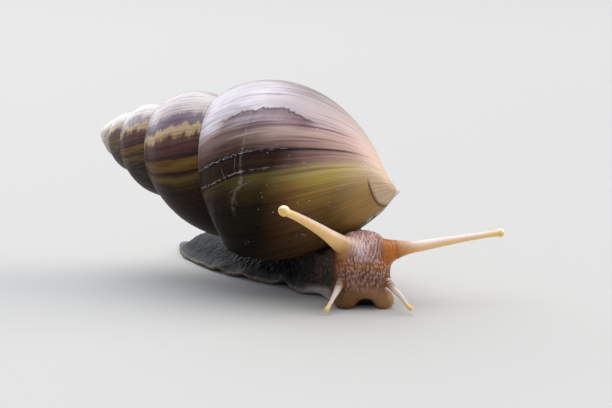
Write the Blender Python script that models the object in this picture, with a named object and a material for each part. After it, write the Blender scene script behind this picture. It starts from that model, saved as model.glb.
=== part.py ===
"""Giant African land snail at life size, crawling: a still model, so nothing moves.

Metres, +Z up. The origin is the middle of the bounding box at floor level. The snail
crawls towards -Y on a flat sole at z = 0. The shell coils to the right, its apex points
back and to the animal's right (-X), and the head is turned to the right.
Lengths below are in millimetres unless the name says otherwise.
"""

import math

import bmesh
import bpy
import numpy as np
from mathutils import Matrix, Vector
from mathutils.bvhtree import BVHTree

MM = 0.001
GAP = 0.3  # clearance between neighbouring solids
SHELL_GAP = 0.6  # clearance of the flesh below the shell, measured upwards

# Shell: a right-handed spiral of suture and whorl wall round one straight axis.
SHELL_LENGTH = 72.0
WHORLS = 6.5
RADIUS_GROWTH = 1.505  # suture radius gained in each whorl, as a factor
AXIAL_GROWTH = 1.91  # distance of the suture from the apex gained in each whorl
SUTURE_RADIUS = 16.16  # at the lip
SUTURE_FROM_APEX = 39.9  # at the lip, along the axis
SHOULDER_TUCK = 0.254  # share of its radius that the last whorl's widest line loses to a spiral
SHOULDER_RISE = 0.51  # and share of its distance from the apex
SPIRE_BULGE = 0.131  # how far a whorl's wall arches outwards, as a share of its chord
BODY_BULGE = 0.108
BASE_BULGE = 0.171
BASE_FULLNESS = 0.674  # how long the base keeps the direction of the wall above it
PILLAR_SHARE = 0.032  # radius of the pillar's foot over the whorl's radius
LIP_LAG = 0.30  # radians by which the middle of the lip trails its two ends
TIP_LIFT = 1.9  # how far the base's point turns up
TIP_FROM = 56.0  # from this distance along the axis
LIP_WALL = 0.9  # thickness of the shell at its lip
POCKET_TURN = 0.17  # radians that the mouth is hollowed back into the last whorl
POCKET_STEPS = ((0.3, 1.0), (0.6, 1.0), (0.85, 0.7))  # share of the way across the mouth, depth
POCKET_EDGE_DEPTH = 0.8  # depth just inside the lip
SHELL_APEX = Vector((-25.5, 33.9, 30.3))
SHELL_HEADING = math.radians(29.2)  # the base points this far to the left of the head
SHELL_DIP = math.radians(7.75)  # and this far below level
LIP_ROLL = math.radians(-14.8)  # end of the suture, measured from straight down

# Mantle collar: a slab across the mouth, inside the lip.
MANTLE_ROWS = (5, 13)  # first and end of the lip's columns that it spans
MANTLE_INSET = 1.6  # from the lip
MANTLE_FROM_PILLAR = 3.0
MANTLE_START = 0.45  # its inner face, out of the mouth
MANTLE_EDGE = 0.5  # thickness at its edge
MANTLE_SWELL = 1.6  # how much thicker in the middle
MANTLE_COLUMNS = 6

ROWS_PER_WHORL = 28
BAND_COLUMNS = 6  # points across a whorl's wall, suture to suture
BASE_COLUMNS = 9  # and from there to the pillar

# Foot: height and half width at distances along Y, from the tail tip to the front edge.
FOOT_SHAPE = (  # y, middle x, half width, back height, stalk height
    (43.8, 0.6, 0.8, 0.7, 0.0),
    (42.6, 0.5, 1.6, 0.9, 0.0),
    (39.5, 0.2, 2.8, 1.3, 0.0),
    (35.9, 0.0, 4.6, 2.7, 0.0),
    (32.5, 0.2, 6.3, 4.5, 0.0),
    (29.2, 0.3, 7.7, 5.5, 0.0),
    (22.0, 0.6, 9.3, 6.6, 0.0),
    (12.0, 1.2, 10.8, 7.4, 0.0),
    (2.0, 2.1, 10.8, 7.6, 1.0),
    (-8.0, 3.1, 9.6, 8.4, 7.0),
    (-15.0, 3.3, 9.2, 8.6, 12.0),
    (-20.0, 3.0, 8.6, 8.8, 10.0),
    (-22.6, 2.6, 6.0, 9.4, 6.0),
)
TAIL_END_Y = 22.0
MIDDLE_END_Y = 1.0
STALK_HALF_WIDTH = 5.2  # of the flesh that rises from the foot into the shell
RIM_HEIGHT = 0.8
SOLE_SHARE = 0.94  # the sole's width over the rim's
ROOM_REACH = 1.1  # how far round each point the clearance below the shell is taken

NECK_BACK = (6.3, 12.2)  # half width and height where the neck leaves the foot
NECK_LOW = 0.9

# Head, turned to the animal's right.
HEAD_TURN = math.radians(35.0)
MOUTH = Vector((-2.5, -34.0, 0.0))
HEAD_SHAPE = (  # distance behind the mouth, half width, lowest, highest
    (7.0, 6.1, 1.0, 14.3),
    (5.6, 6.2, 1.2, 14.5),
    (4.2, 6.1, 1.6, 14.1),
    (3.1, 5.9, 2.9, 13.5),
    (2.2, 5.8, 3.0, 12.8),
    (1.0, 5.5, 3.0, 11.4),
    (-0.1, 5.1, 3.2, 9.7),
    (-0.9, 4.2, 3.8, 8.2),
    (-1.3, 2.9, 4.6, 7.2),
)


def head_point(ahead, left, up):
    """A place near the head: ahead of the mouth, to the animal's left, and above the floor."""
    facing = Vector((-math.sin(HEAD_TURN), -math.cos(HEAD_TURN), 0))
    leftward = Vector((math.cos(HEAD_TURN), -math.sin(HEAD_TURN), 0))
    return MOUTH + facing * ahead + leftward * left + Vector((0, 0, up))


FEELERS = (  # name, route ahead, left and above at the head, radius at each place
    (
        "upper_feeler_right",
        ((-1.4, -3.9, 12.1), (2.8, -8.8, 16.2), (5.9, -12.2, 18.7), (8.2, -14.3, 20.1)),
        (1.75, 1.3, 1.0, 0.85),
    ),
    (
        "upper_feeler_left",
        ((-3.3, 6.5, 10.9), (-5.0, 12.3, 11.4), (-7.0, 18.5, 12.1), (-10.0, 27.05, 12.9)),
        (1.8, 1.4, 1.1, 0.8),
    ),
    (
        "lower_feeler_right",
        ((0.7, -4.6, 4.9), (3.4, -5.8, 3.0), (5.4, -7.1, 1.3)),
        (0.75, 0.6, 0.55),
    ),
    (
        "lower_feeler_left",
        ((0.4, 5.2, 5.0), (3.4, 7.3, 2.8), (5.5, 8.7, 1.4)),
        (0.75, 0.6, 0.55),
    ),
)
LOBES = (  # name, place ahead, left and above at the head, half sizes
    ("lip_lobe_right", (-0.8, -3.0, 1.65), (2.7, 2.2, 1.4)),
    ("lip_lobe_left", (-0.8, 3.5, 1.65), (2.4, 2.2, 1.4)),
)
EYES = (  # name, place ahead, left and above at the head, radius
    ("eye_right", (9.2, -15.2, 20.7), 1.08),
    ("eye_left", (-10.4, 28.2, 13.0), 0.9),
)


def clear_scene():
    for obj in list(bpy.data.objects):
        bpy.data.objects.remove(obj, do_unlink=True)


def add_collection(name):
    collection = bpy.data.collections.new(name)
    bpy.context.scene.collection.children.link(collection)
    return collection


def add_material(name, colour, roughness):
    material = bpy.data.materials.new(name)
    material.use_nodes = True
    shader = material.node_tree.nodes["Principled BSDF"]
    shader.inputs["Base Color"].default_value = (*colour, 1.0)
    shader.inputs["Roughness"].default_value = roughness
    shader.inputs["Metallic"].default_value = 0.0
    return material


def add_mesh(name, points, faces, material):
    """A closed mesh object from points in millimetres, smooth shaded, faces turned outwards."""
    mesh = bpy.data.meshes.new(name)
    mesh.from_pydata([tuple(Vector(p) * MM) for p in points], [], faces)
    bm = bmesh.new()
    bm.from_mesh(mesh)
    bmesh.ops.recalc_face_normals(bm, faces=bm.faces)
    bm.to_mesh(mesh)
    bm.free()
    mesh.shade_smooth()
    mesh.set_sharp_from_angle(angle=math.radians(50))
    mesh.materials.append(material)
    obj = bpy.data.objects.new(name, mesh)
    PART.objects.link(obj)
    return obj


def hermite(start, start_slope, end, end_slope, t):
    return (
        (2 * t**3 - 3 * t**2 + 1) * start
        + (t**3 - 2 * t**2 + t) * start_slope
        + (3 * t**2 - 2 * t**3) * end
        + (t**3 - t**2) * end_slope
    )


def along(table, position):
    """The table's row at this position, on a smooth curve through its rows."""
    rows = np.array(sorted(table))
    keys = rows[:, 0]
    i = int(np.clip(np.searchsorted(keys, position) - 1, 0, len(keys) - 2))
    slopes = np.gradient(rows, keys, axis=0)
    step = keys[i + 1] - keys[i]
    t = np.clip((position - keys[i]) / step, 0, 1)
    return hermite(rows[i], slopes[i] * step, rows[i + 1], slopes[i + 1] * step, t)


# ---- shell ------------------------------------------------------------------------


def suture(turn):
    """(radius, distance from apex) of the suture after this many whorls.

    Past the lip it is the widest line of the last whorl, which no whorl joins.
    """
    beyond = max(turn - WHORLS, 0.0)
    radius = SUTURE_RADIUS * RADIUS_GROWTH ** (turn - WHORLS)
    height = SUTURE_FROM_APEX * AXIAL_GROWTH ** (turn - WHORLS)
    return np.array(
        (radius * (1 - SHOULDER_TUCK * beyond**2), height * (1 - SHOULDER_RISE * beyond**2))
    )


def outwards(chord):
    return np.array((chord[1], -chord[0]))


def whorl_section(turn, v):
    """(radius, distance from apex) on the wall: v 0 at its suture, 1 at the next, 2 at the pillar."""
    top = suture(turn)
    low = suture(turn + 1)
    chord = low - top
    t = min(max(turn - (WHORLS - 1.5), 0.0), 1.0)
    bulge = SPIRE_BULGE + (BODY_BULGE - SPIRE_BULGE) * t * t * (3 - 2 * t)
    leaving = chord + 4 * bulge * outwards(chord)
    arriving = chord - 4 * bulge * outwards(chord)
    if v <= 1:
        return hermite(top, leaving, low, arriving, v)
    share = low[1] / suture(WHORLS + 1)[1]
    foot = np.array(
        (PILLAR_SHARE * low[0], top[1] + (SHELL_LENGTH - SUTURE_FROM_APEX) * share)
    )
    chord = foot - low
    start = arriving / np.linalg.norm(arriving) * np.linalg.norm(chord) * BASE_FULLNESS
    return hermite(low, start, foot, chord - 4 * BASE_BULGE * outwards(chord), v - 1)


AXIS = Vector(
    (
        math.sin(SHELL_HEADING) * math.cos(SHELL_DIP),
        -math.cos(SHELL_HEADING) * math.cos(SHELL_DIP),
        -math.sin(SHELL_DIP),
    )
)
LEVEL = Vector((0, 0, 1)).cross(AXIS).normalized()
DOWN = LEVEL.cross(AXIS)


def on_shell(radius, height, angle):
    """Cylindrical place about the shell's axis, angle 0 straight down and growing with the whorls."""
    across = DOWN * math.cos(angle) + LEVEL * math.sin(angle)
    return SHELL_APEX + AXIS * float(height) + across * float(radius)


def wall_point(turn, v):
    radius, height = whorl_section(turn, v)
    place = on_shell(radius, height, LIP_ROLL + 2 * math.pi * (turn - WHORLS))
    towards_tip = max((float(height) - TIP_FROM) / (SHELL_LENGTH - TIP_FROM), 0)
    return place + Vector((0, 0, TIP_LIFT * towards_tip**2))


def lag(v):
    """Turns by which the growth line at v trails the suture."""
    return LIP_LAG * v * (2 - v) / (2 * math.pi)


def mouth_point(lip, pillar, share, inwards):
    """Between lip and pillar, moved back into the last whorl by an angle about the axis."""
    place = lip.lerp(pillar, share)
    turned = Matrix.Rotation(-inwards * POCKET_TURN, 3, AXIS) @ (place - SHELL_APEX)
    return SHELL_APEX + turned


def stitch(left, right):
    """Triangles between two rows of point numbers that run side by side."""
    faces = []
    i = j = 0
    while i < len(left) - 1 or j < len(right) - 1:
        ahead = (i + 1) / max(len(left) - 1, 1) <= (j + 1) / max(len(right) - 1, 1)
        if j == len(right) - 1 or (ahead and i < len(left) - 1):
            faces.append((left[i], left[i + 1], right[j]))
            i += 1
        else:
            faces.append((left[i], right[j + 1], right[j]))
            j += 1
    return [face for face in faces if len(set(face)) == 3]


def build_shell(material):
    """The whole shell: spire, last whorl, lip and the shallow hollow behind the lip."""
    points = []
    faces = []
    spire_rows = round((WHORLS - 1) * ROWS_PER_WHORL)
    number = {}

    def put(key, place):
        number[key] = len(points)
        points.append(place)

    all_rows = spire_rows + ROWS_PER_WHORL
    for row in range(all_rows + 1):
        turn = row / ROWS_PER_WHORL
        on_body = max(row - spire_rows, 0) / ROWS_PER_WHORL
        last = BAND_COLUMNS if row < spire_rows else BAND_COLUMNS + BASE_COLUMNS
        for column in range(last + 1):
            v = column / BAND_COLUMNS
            if column > BAND_COLUMNS:
                v = 1 + (column - BAND_COLUMNS) / BASE_COLUMNS
            joins_next = column == BAND_COLUMNS and row <= spire_rows
            if not joins_next:
                put((row, column), wall_point(turn - on_body * lag(v), v))
    for row in range(spire_rows + 1):
        number[(row, BAND_COLUMNS)] = number[(row + ROWS_PER_WHORL, 0)]
    for row in range(all_rows):
        last = BAND_COLUMNS if row < spire_rows else BAND_COLUMNS + BASE_COLUMNS
        for column in range(last):
            corners = [(row, column), (row + 1, column), (row + 1, column + 1), (row, column + 1)]
            faces.append([number[corner] for corner in corners])

    put("apex", SHELL_APEX)
    rim = [number[(row, 0)] for row in range(ROWS_PER_WHORL + 1)]
    rim += [number[(0, column)] for column in range(BAND_COLUMNS - 1, -1, -1)]
    for start, end in zip(rim, rim[1:]):
        faces.append((number["apex"], start, end))

    lip_columns = BAND_COLUMNS + BASE_COLUMNS
    lip = [number[(all_rows, column)] for column in range(lip_columns + 1)]
    pillar = [number[(spire_rows, column)] for column in range(BAND_COLUMNS, lip_columns + 1)]
    pillar += [number[(row, lip_columns)] for row in range(spire_rows + 1, all_rows + 1)]
    mouth = []
    for i in range(lip_columns + 1):
        at = i / lip_columns * (len(pillar) - 1)
        low = min(int(at), len(pillar) - 2)
        inner = points[pillar[low]].lerp(points[pillar[low + 1]], at - low)
        mouth.append((points[lip[i]], inner))
    previous = lip
    corners = ([lip[0]], [lip[-1]])
    for share, depth in ((0.0, 0.0), (0.0, POCKET_EDGE_DEPTH), *POCKET_STEPS):
        current = []
        for i in range(1, lip_columns):
            outer, inner = mouth[i]
            wall = min(LIP_WALL / (inner - outer).length, POCKET_STEPS[0][0])
            fade = math.sin(math.pi * i / lip_columns) ** 0.5
            current.append(len(points))
            points.append(mouth_point(outer, inner, max(share, wall), depth * fade))
        faces += stitch(previous, current)
        previous = current
        corners[0].append(current[0])
        corners[1].append(current[-1])
    faces += stitch(previous, pillar)
    for corner in corners:
        faces += [(corner[0], start, end) for start, end in zip(corner[1:], corner[2:])]
    return add_mesh("shell", points, faces, material), mouth


# ---- flesh ------------------------------------------------------------------------


def room_above(trees, x, y):
    """Height of the lowest thing above the floor here and just round here, less the clearance."""
    lowest = math.inf
    for dx, dy in ((0, 0), (1, 0), (-1, 0), (0, 1), (0, -1)):
        start = Vector((x + dx * ROOM_REACH, y + dy * ROOM_REACH, 0))
        for tree in trees:
            hit = tree.ray_cast(start * MM, Vector((0, 0, 1)))[0]
            if hit:
                lowest = min(lowest, hit.z / MM)
    return lowest - SHELL_GAP


def loft(name, rings, material):
    """A closed solid through rings of equal point count, with a flat cap at each end."""
    count = len(rings[0])
    points = [point for ring in rings for point in ring]
    faces = []
    for r in range(len(rings) - 1):
        for i in range(count):
            j = (i + 1) % count
            faces.append(
                (r * count + i, r * count + j, (r + 1) * count + j, (r + 1) * count + i)
            )
    faces.append(tuple(range(count)))
    faces.append(tuple((len(rings) - 1) * count + i for i in range(count)))
    return add_mesh(name, points, faces, material)


def foot_ring(y, trees):
    """Section across the foot: flat sole, thin rim, back rising to the stalk in the middle."""
    _, middle, half_width, back, stalk = along(FOOT_SHAPE, y)
    rim = min(RIM_HEIGHT, back * 0.5)
    ring = [(middle + half_width * side * SOLE_SHARE, y, 0.0) for side in (0.5, 1.0)]
    for side in np.sin(np.linspace(math.pi / 2, -math.pi / 2, 15)):
        spread = side * half_width
        rise = (back - rim) * (1 - side**2) ** 1.15
        rise += stalk * math.exp(-((spread / STALK_HALF_WIDTH) ** 4))
        x = middle + spread
        ring.append((x, y, min(rim + rise, room_above(trees, x, y))))
    ring += [(middle + half_width * side * SOLE_SHARE, y, 0.0) for side in (-1.0, -0.5)]
    return ring


def build_foot(trees, material):
    """Three lengths of foot, tail to front, with a clearance between them."""
    front = FOOT_SHAPE[-1][0]
    tip = FOOT_SHAPE[0][0]
    lengths = (
        ("foot_tail", tip, TAIL_END_Y, 14),
        ("foot_middle", TAIL_END_Y - GAP, MIDDLE_END_Y, 9),
        ("foot_front", MIDDLE_END_Y - GAP, front, 14),
    )
    for name, start, end, rings in lengths:
        stations = np.linspace(start, end, rings)
        loft(name, [foot_ring(float(y), trees) for y in stations], material)


def oval_ring(centre, sideways, half_width, low, high, trees):
    """Upright section across head or neck, a rounded box of 20 points."""
    ring = []
    middle = (low + high) / 2
    for angle in np.linspace(0, 2 * math.pi, 20, endpoint=False):
        across = math.copysign(abs(math.cos(angle)) ** 0.85, math.cos(angle)) * half_width
        up = math.copysign(abs(math.sin(angle)) ** 0.85, math.sin(angle)) * (high - low) / 2
        place = centre + sideways * across
        height = middle + up
        if height > middle:
            height = max(min(height, room_above(trees, place.x, place.y)), middle)
        ring.append((place.x, place.y, height))
    return ring


def build_neck(trees, material):
    """Short neck that turns from the foot's direction to the head's."""
    start = Vector((FOOT_SHAPE[-1][1], FOOT_SHAPE[-1][0] - GAP, 0))
    end = head_point(-HEAD_SHAPE[0][0] - GAP, 0, 0)
    rings = []
    for share in np.linspace(0, 1, 5):
        turn = HEAD_TURN * share
        sideways = Vector((math.cos(turn), -math.sin(turn), 0))
        centre = start.lerp(end, share)
        width = NECK_BACK[0] + (HEAD_SHAPE[0][1] - NECK_BACK[0]) * share
        high = NECK_BACK[1] + (HEAD_SHAPE[0][3] - NECK_BACK[1]) * share
        rings.append(oval_ring(centre, sideways, width, NECK_LOW, high, trees))
    loft("neck", rings, material)


def build_head(trees, material):
    """Snout: rounded forehead, sloping face, narrower at the chin."""
    sideways = head_point(0, 1, 0) - head_point(0, 0, 0)
    rings = []
    for behind, half_width, low, high in HEAD_SHAPE:
        rings.append(oval_ring(head_point(-behind, 0, 0), sideways, half_width, low, high, trees))
    loft("head", rings, material)


def build_lobe(name, centre, size, material):
    """A lip lobe beside the mouth: a squashed ball under the face."""
    bpy.ops.mesh.primitive_uv_sphere_add(segments=14, ring_count=8, radius=1.0)
    ball = bpy.context.object
    place = Matrix.Translation(centre * MM)
    place @= Matrix.Rotation(-HEAD_TURN, 4, "Z")
    place @= Matrix.Diagonal((size[0] * MM, size[1] * MM, size[2] * MM, 1.0))
    ball.data.transform(place)
    ball.data.shade_smooth()
    ball.data.materials.append(material)
    ball.name = name
    move_to_part(ball)


def move_to_part(obj):
    for collection in list(obj.users_collection):
        collection.objects.unlink(obj)
    PART.objects.link(obj)


def build_feeler(name, route, widths, material):
    """A tapered tube along a smooth route; widths are radii at the route's points."""
    curve = bpy.data.curves.new(name, "CURVE")
    curve.dimensions = "3D"
    curve.bevel_depth = MM
    curve.bevel_resolution = 2
    curve.use_fill_caps = True
    steps = 3 * (len(route) - 1) + 1
    spline = curve.splines.new("POLY")
    spline.points.add(steps - 1)
    table = [(i, *place, width) for i, (place, width) in enumerate(zip(route, widths))]
    for i in range(steps):
        _, x, y, z, width = along(table, i / 3)
        spline.points[i].co = (x * MM, y * MM, z * MM, 1)
        spline.points[i].radius = width
    spline.use_smooth = True
    curve.materials.append(material)
    obj = bpy.data.objects.new(name, curve)
    PART.objects.link(obj)


def build_eye(name, centre, radius, material):
    """The rounded end of an upper feeler, which holds the eye."""
    bpy.ops.mesh.primitive_uv_sphere_add(segments=14, ring_count=9, radius=radius * MM)
    ball = bpy.context.object
    ball.data.transform(Matrix.Translation(centre * MM))
    ball.data.shade_smooth()
    ball.data.materials.append(material)
    ball.name = name
    move_to_part(ball)


def build_mantle(mouth, material):
    """The fleshy collar that fills the mouth of the shell, level with its lip and swelling outwards."""
    rows = range(*MANTLE_ROWS)
    shares = np.linspace(0, 1, MANTLE_COLUMNS)
    layers = ([], [])
    for i in rows:
        lip, pillar = mouth[i]
        width = (pillar - lip).length
        inwards = (pillar - lip) / width
        out = inwards.cross(mouth[i + 1][0] - mouth[i - 1][0]).normalized()
        if out.dot(LEVEL) < 0:
            out.negate()
        for share in shares:
            span = width - MANTLE_INSET - MANTLE_FROM_PILLAR
            place = lip + inwards * (MANTLE_INSET + span * share)
            thickness = MANTLE_EDGE + MANTLE_SWELL * math.sin(math.pi * share)
            layers[0].append(place + out * MANTLE_START)
            layers[1].append(place + out * (MANTLE_START + thickness))
    points = layers[0] + layers[1]
    half = len(layers[0])
    faces = []
    last_row = len(rows) - 1
    last = MANTLE_COLUMNS - 1
    for r in range(last_row):
        for c in range(last):
            quad = [r * MANTLE_COLUMNS + c, r * MANTLE_COLUMNS + c + 1]
            quad += [quad[1] + MANTLE_COLUMNS, quad[0] + MANTLE_COLUMNS]
            faces.append(quad)
            faces.append([number + half for number in reversed(quad)])
    border = list(range(last))
    border += [r * MANTLE_COLUMNS + last for r in range(last_row)]
    border += [last_row * MANTLE_COLUMNS + c for c in range(last, 0, -1)]
    border += [r * MANTLE_COLUMNS for r in range(last_row, 0, -1)]
    for start, end in zip(border, border[1:] + border[:1]):
        faces.append([start, end, end + half, start + half])
    add_mesh("mantle_collar", points, faces, material)


def tree_of(obj):
    """The finished surface of an object, for measuring clearances."""
    graph = bpy.context.evaluated_depsgraph_get()
    bm = bmesh.new()
    mesh = obj.evaluated_get(graph).to_mesh()
    bm.from_mesh(mesh)
    tree = BVHTree.FromBMesh(bm)
    bm.free()
    return tree


clear_scene()
PART = add_collection("giant_land_snail")
SHELL_STUFF = add_material("shell", (0.23, 0.13, 0.075), 0.34)
FOOT_STUFF = add_material("foot_skin", (0.09, 0.085, 0.085), 0.45)
HEAD_STUFF = add_material("head_skin", (0.52, 0.29, 0.16), 0.4)
FEELER_STUFF = add_material("feeler_skin", (0.74, 0.5, 0.3), 0.4)
MANTLE_STUFF = add_material("mantle_skin", (0.3, 0.27, 0.23), 0.35)
EYE_STUFF = add_material("eye", (0.72, 0.5, 0.25), 0.25)

shell, shell_mouth = build_shell(SHELL_STUFF)
bpy.context.view_layer.update()
build_mantle(shell_mouth, MANTLE_STUFF)
bpy.context.view_layer.update()
above = [tree_of(shell), tree_of(bpy.data.objects["mantle_collar"])]
build_foot(above, FOOT_STUFF)
build_neck(above, HEAD_STUFF)
build_head(above, HEAD_STUFF)

for name, place, size in LOBES:
    build_lobe(name, head_point(*place), size, HEAD_STUFF)
for name, route, widths in FEELERS:
    build_feeler(name, [head_point(*place) for place in route], widths, FEELER_STUFF)
for name, place, radius in EYES:
    build_eye(name, head_point(*place), radius, EYE_STUFF)
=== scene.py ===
import math

import bmesh
import bpy
import numpy as np
from mathutils import Matrix, Vector
from mathutils.bvhtree import BVHTree


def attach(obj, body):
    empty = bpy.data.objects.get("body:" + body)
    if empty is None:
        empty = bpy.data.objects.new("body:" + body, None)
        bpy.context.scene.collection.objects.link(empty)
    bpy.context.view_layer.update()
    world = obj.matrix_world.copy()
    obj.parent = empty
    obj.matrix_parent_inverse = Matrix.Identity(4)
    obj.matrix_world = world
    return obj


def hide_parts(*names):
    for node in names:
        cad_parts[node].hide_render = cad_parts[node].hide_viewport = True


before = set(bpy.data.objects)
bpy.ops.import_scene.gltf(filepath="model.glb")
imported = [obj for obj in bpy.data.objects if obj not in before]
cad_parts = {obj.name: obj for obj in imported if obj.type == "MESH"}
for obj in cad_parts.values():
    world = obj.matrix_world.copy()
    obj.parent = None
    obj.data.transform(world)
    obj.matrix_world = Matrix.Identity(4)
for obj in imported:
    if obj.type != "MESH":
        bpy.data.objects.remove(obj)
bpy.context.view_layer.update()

# ---- Shell ------------------------------------------------------------------------------
# A thin coiled tube of lime under a brown horny skin, six and a half whorls to the right. It
# grew at the lip, so its ridges, streaks and scars all run from suture to base as the lip did.
# The animal's pillar muscle holds it from inside; it is one piece with its lip and lining.

MM = 0.001  # lengths are in millimetres, brought to metres as each mesh is finished
SHELL_SIZES = {
    "Length": 72.0,
    "Whorls": 6.5,
    "Radius growth": 1.505,  # of the suture in each whorl, as a factor
    "Axial growth": 1.91,  # of its distance from the apex
    "Suture radius": 16.16,  # at the lip
    "Suture from apex": 39.9,
    "Shoulder tuck": 0.254,  # what the last whorl's widest line loses to a spiral
    "Shoulder rise": 0.51,
    "Spire bulge": 0.131,  # outward arch of the wall, as a share of its chord
    "Body bulge": 0.108,
    "Base bulge": 0.171,
    "Base fullness": 0.674,
    "Pillar share": 0.032,  # the pillar's radius over the whorl's
    "Lip lag": 0.30,  # radians by which the middle of the lip trails its ends
    "Lip wall": 0.7,
    "Lip chips": 0.005,  # whorls broken away from the lip
    "Mouth depth": 0.32,  # radians back into the last whorl
    "Ridge height": 0.11,
}
SHELL_APEX = Vector((-25.5, 33.9, 30.3))
SHELL_HEADING = math.radians(29.2)  # of its axis, round from the way the animal crawls
SHELL_DIP = math.radians(7.75)  # of the axis towards the base
LIP_ROLL = math.radians(-14.8)  # of the lip about the axis
TIP_LIFT = 1.0  # how far the base's point turns up
TIP_FROM = 56.0  # from this distance along the axis
LIP_FLARE = 0.85  # how far the base spreads out along the lip
FLARE_ALONG = (46.0, 62.0)  # it sets in over this stretch of the axis
FLARE_BELOW = (0.3, 3.0)  # and this far below it
FIRST_WHORL = -0.5  # where the modelled spiral begins, ahead of the apex
COLUMNS = 28  # across a whorl, and again from there to the pillar
ROWS = 11 * COLUMNS  # round a whorl
MOUTH_COLUMNS = 26
WELD = 0.004
SHARP_ANGLE = math.radians(50)  # beyond which an edge is not shaded round
FINEST_RELIEF = 0.12 * MM  # depth of what is too fine for the mesh
OLD_LIPS = (6.300, 6.3385)  # when growth stopped for a while, in whorls grown
MENDED_BREAK = 6.206  # and when a broken lip was mended
SCRATCHES = ((6.262, 2.7, 0.93), (6.300, -5.1, 1.06), (6.286, 7.2, 0.80))  # turn, lean, across


class Wire:
    """An output in a node tree. Sums on it add Math nodes, and add() puts in any other node."""

    def __init__(self, tree, socket=None):
        self.tree = tree
        self.socket = socket

    def add(self, kind, settings=None, inputs=None, output=0):
        """A node with these settings, its inputs given as numbers or as wires."""
        node = self.tree.nodes.new(kind)
        for name, value in (settings or {}).items():
            if name == "stops":
                for _ in range(len(value) - 2):
                    node.color_ramp.elements.new(0.5)
                for stop, (place, colour) in zip(node.color_ramp.elements, value):
                    stop.position = place
                    stop.color = (*colour, 1.0)
            else:
                setattr(node, name, value)
        for key, value in (inputs or {}).items():
            for one in value if isinstance(value, list) else [value]:
                if isinstance(one, Wire):
                    self.tree.links.new(one.socket, node.inputs[key])
                else:
                    node.inputs[key].default_value = one
        return Wire(self.tree, node.outputs[output])

    def other(self, output):
        """Another output of the same node."""
        return Wire(self.tree, self.socket.node.outputs[output])

    def split(self):
        """A vector's three coordinates."""
        x = self.add("ShaderNodeSeparateXYZ", None, {0: self})
        return x, x.other("Y"), x.other("Z")

    def calc(self, operation, *values):
        """A Math node on these values, or on this wire alone."""
        inputs = dict(enumerate(values or [self]))
        return self.add("ShaderNodeMath", {"operation": operation}, inputs)

    def __add__(self, value):
        return self.calc("ADD", self, value)

    def __radd__(self, value):
        return self.calc("ADD", value, self)

    def __sub__(self, value):
        return self.calc("SUBTRACT", self, value)

    def __rsub__(self, value):
        return self.calc("SUBTRACT", value, self)

    def __mul__(self, value):
        return self.calc("MULTIPLY", self, value)

    def __rmul__(self, value):
        return self.calc("MULTIPLY", value, self)

    def __truediv__(self, value):
        return self.calc("DIVIDE", self, value)

    def __rtruediv__(self, value):
        return self.calc("DIVIDE", value, self)

    def __pow__(self, value):
        return self.calc("POWER", self, value)

    def ramp(self, low, high):
        """0 below low, 1 above high, and a smooth step between them."""
        span = {"Value": self, "From Min": low, "From Max": high}
        return self.add("ShaderNodeMapRange", {"interpolation_type": "SMOOTHSTEP"}, span)

    def fade(self, low, high):
        """1 below low, 0 above high, and a smooth step between them."""
        return 1 - self.ramp(low, high)

    def within(self, low, full, ebb, high):
        """Rising from low to full, then 1, and falling from ebb to high."""
        return self.ramp(low, full) * self.fade(ebb, high)

    def line(self, place, width):
        """1 at this place, falling to 0 at this distance from it."""
        return (self - place).calc("ABSOLUTE").fade(0.0, width)

    def vector(self, x, y, z=0.0):
        """A vector of these three."""
        return self.add("ShaderNodeCombineXYZ", None, {0: x, 1: y, 2: z})

    def noise(self, place, detail=2.0, roughness=0.5, scale=1.0):
        """Smooth noise between 0 and 1 at this vector."""
        sizes = {"Vector": place, "Scale": scale, "Detail": detail, "Roughness": roughness}
        return self.add("ShaderNodeTexNoise", {"noise_dimensions": "3D"}, sizes)

    def cells(self, place, flat=False, randomness=1.0, scale=1.0):
        """Distance from the nearest of many scattered points, in a plane or in space."""
        settings = {"feature": "F1", "voronoi_dimensions": "2D" if flat else "3D"}
        sizes = {"Vector": place, "Scale": scale, "Randomness": randomness}
        return self.add("ShaderNodeTexVoronoi", settings, sizes, "Distance")


def larger(a, b):
    """The larger of two wires, or of two numbers."""
    return a.calc("MAXIMUM", a, b) if isinstance(a, Wire) else max(a, b)


def smaller(a, b):
    """The smaller of two wires, or of two numbers."""
    return a.calc("MINIMUM", a, b) if isinstance(a, Wire) else min(a, b)


def is_past(a, b):
    """1 where a is more than b, and 0 elsewhere."""
    return a.calc("GREATER_THAN", a, b) if isinstance(a, Wire) else float(a > b)


def hermite(starts, leaving, ends, arriving, t):
    """A curve from start to end, each coordinate by itself."""
    weights = (
        2 * t**3 - 3 * t**2 + 1,
        t**3 - 2 * t**2 + t,
        3 * t**2 - 2 * t**3,
        t**3 - t**2,
    )
    coordinates = zip(starts, leaving, ends, arriving)
    return [sum_of(w * x for w, x in zip(weights, four)) for four in coordinates]


def sum_of(terms):
    """These wires or numbers added up."""
    total, *rest = terms
    for term in rest:
        total = total + term
    return total


def suture(turn, size):
    """Radius and distance from the apex of the suture, or of the widest line past the lip."""
    beyond = larger(turn - size["Whorls"], 0.0)
    grown = turn - size["Whorls"]
    radius = size["Suture radius"] * size["Radius growth"] ** grown
    height = size["Suture from apex"] * size["Axial growth"] ** grown
    return (
        radius * (1 - size["Shoulder tuck"] * beyond**2),
        height * (1 - size["Shoulder rise"] * beyond**2),
    )


def arched(chord, bulge):
    """The slopes at the two ends of an arch over this chord."""
    lift = (4 * bulge * chord[1], -4 * bulge * chord[0])
    return [c + o for c, o in zip(chord, lift)], [c - o for c, o in zip(chord, lift)]


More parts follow.
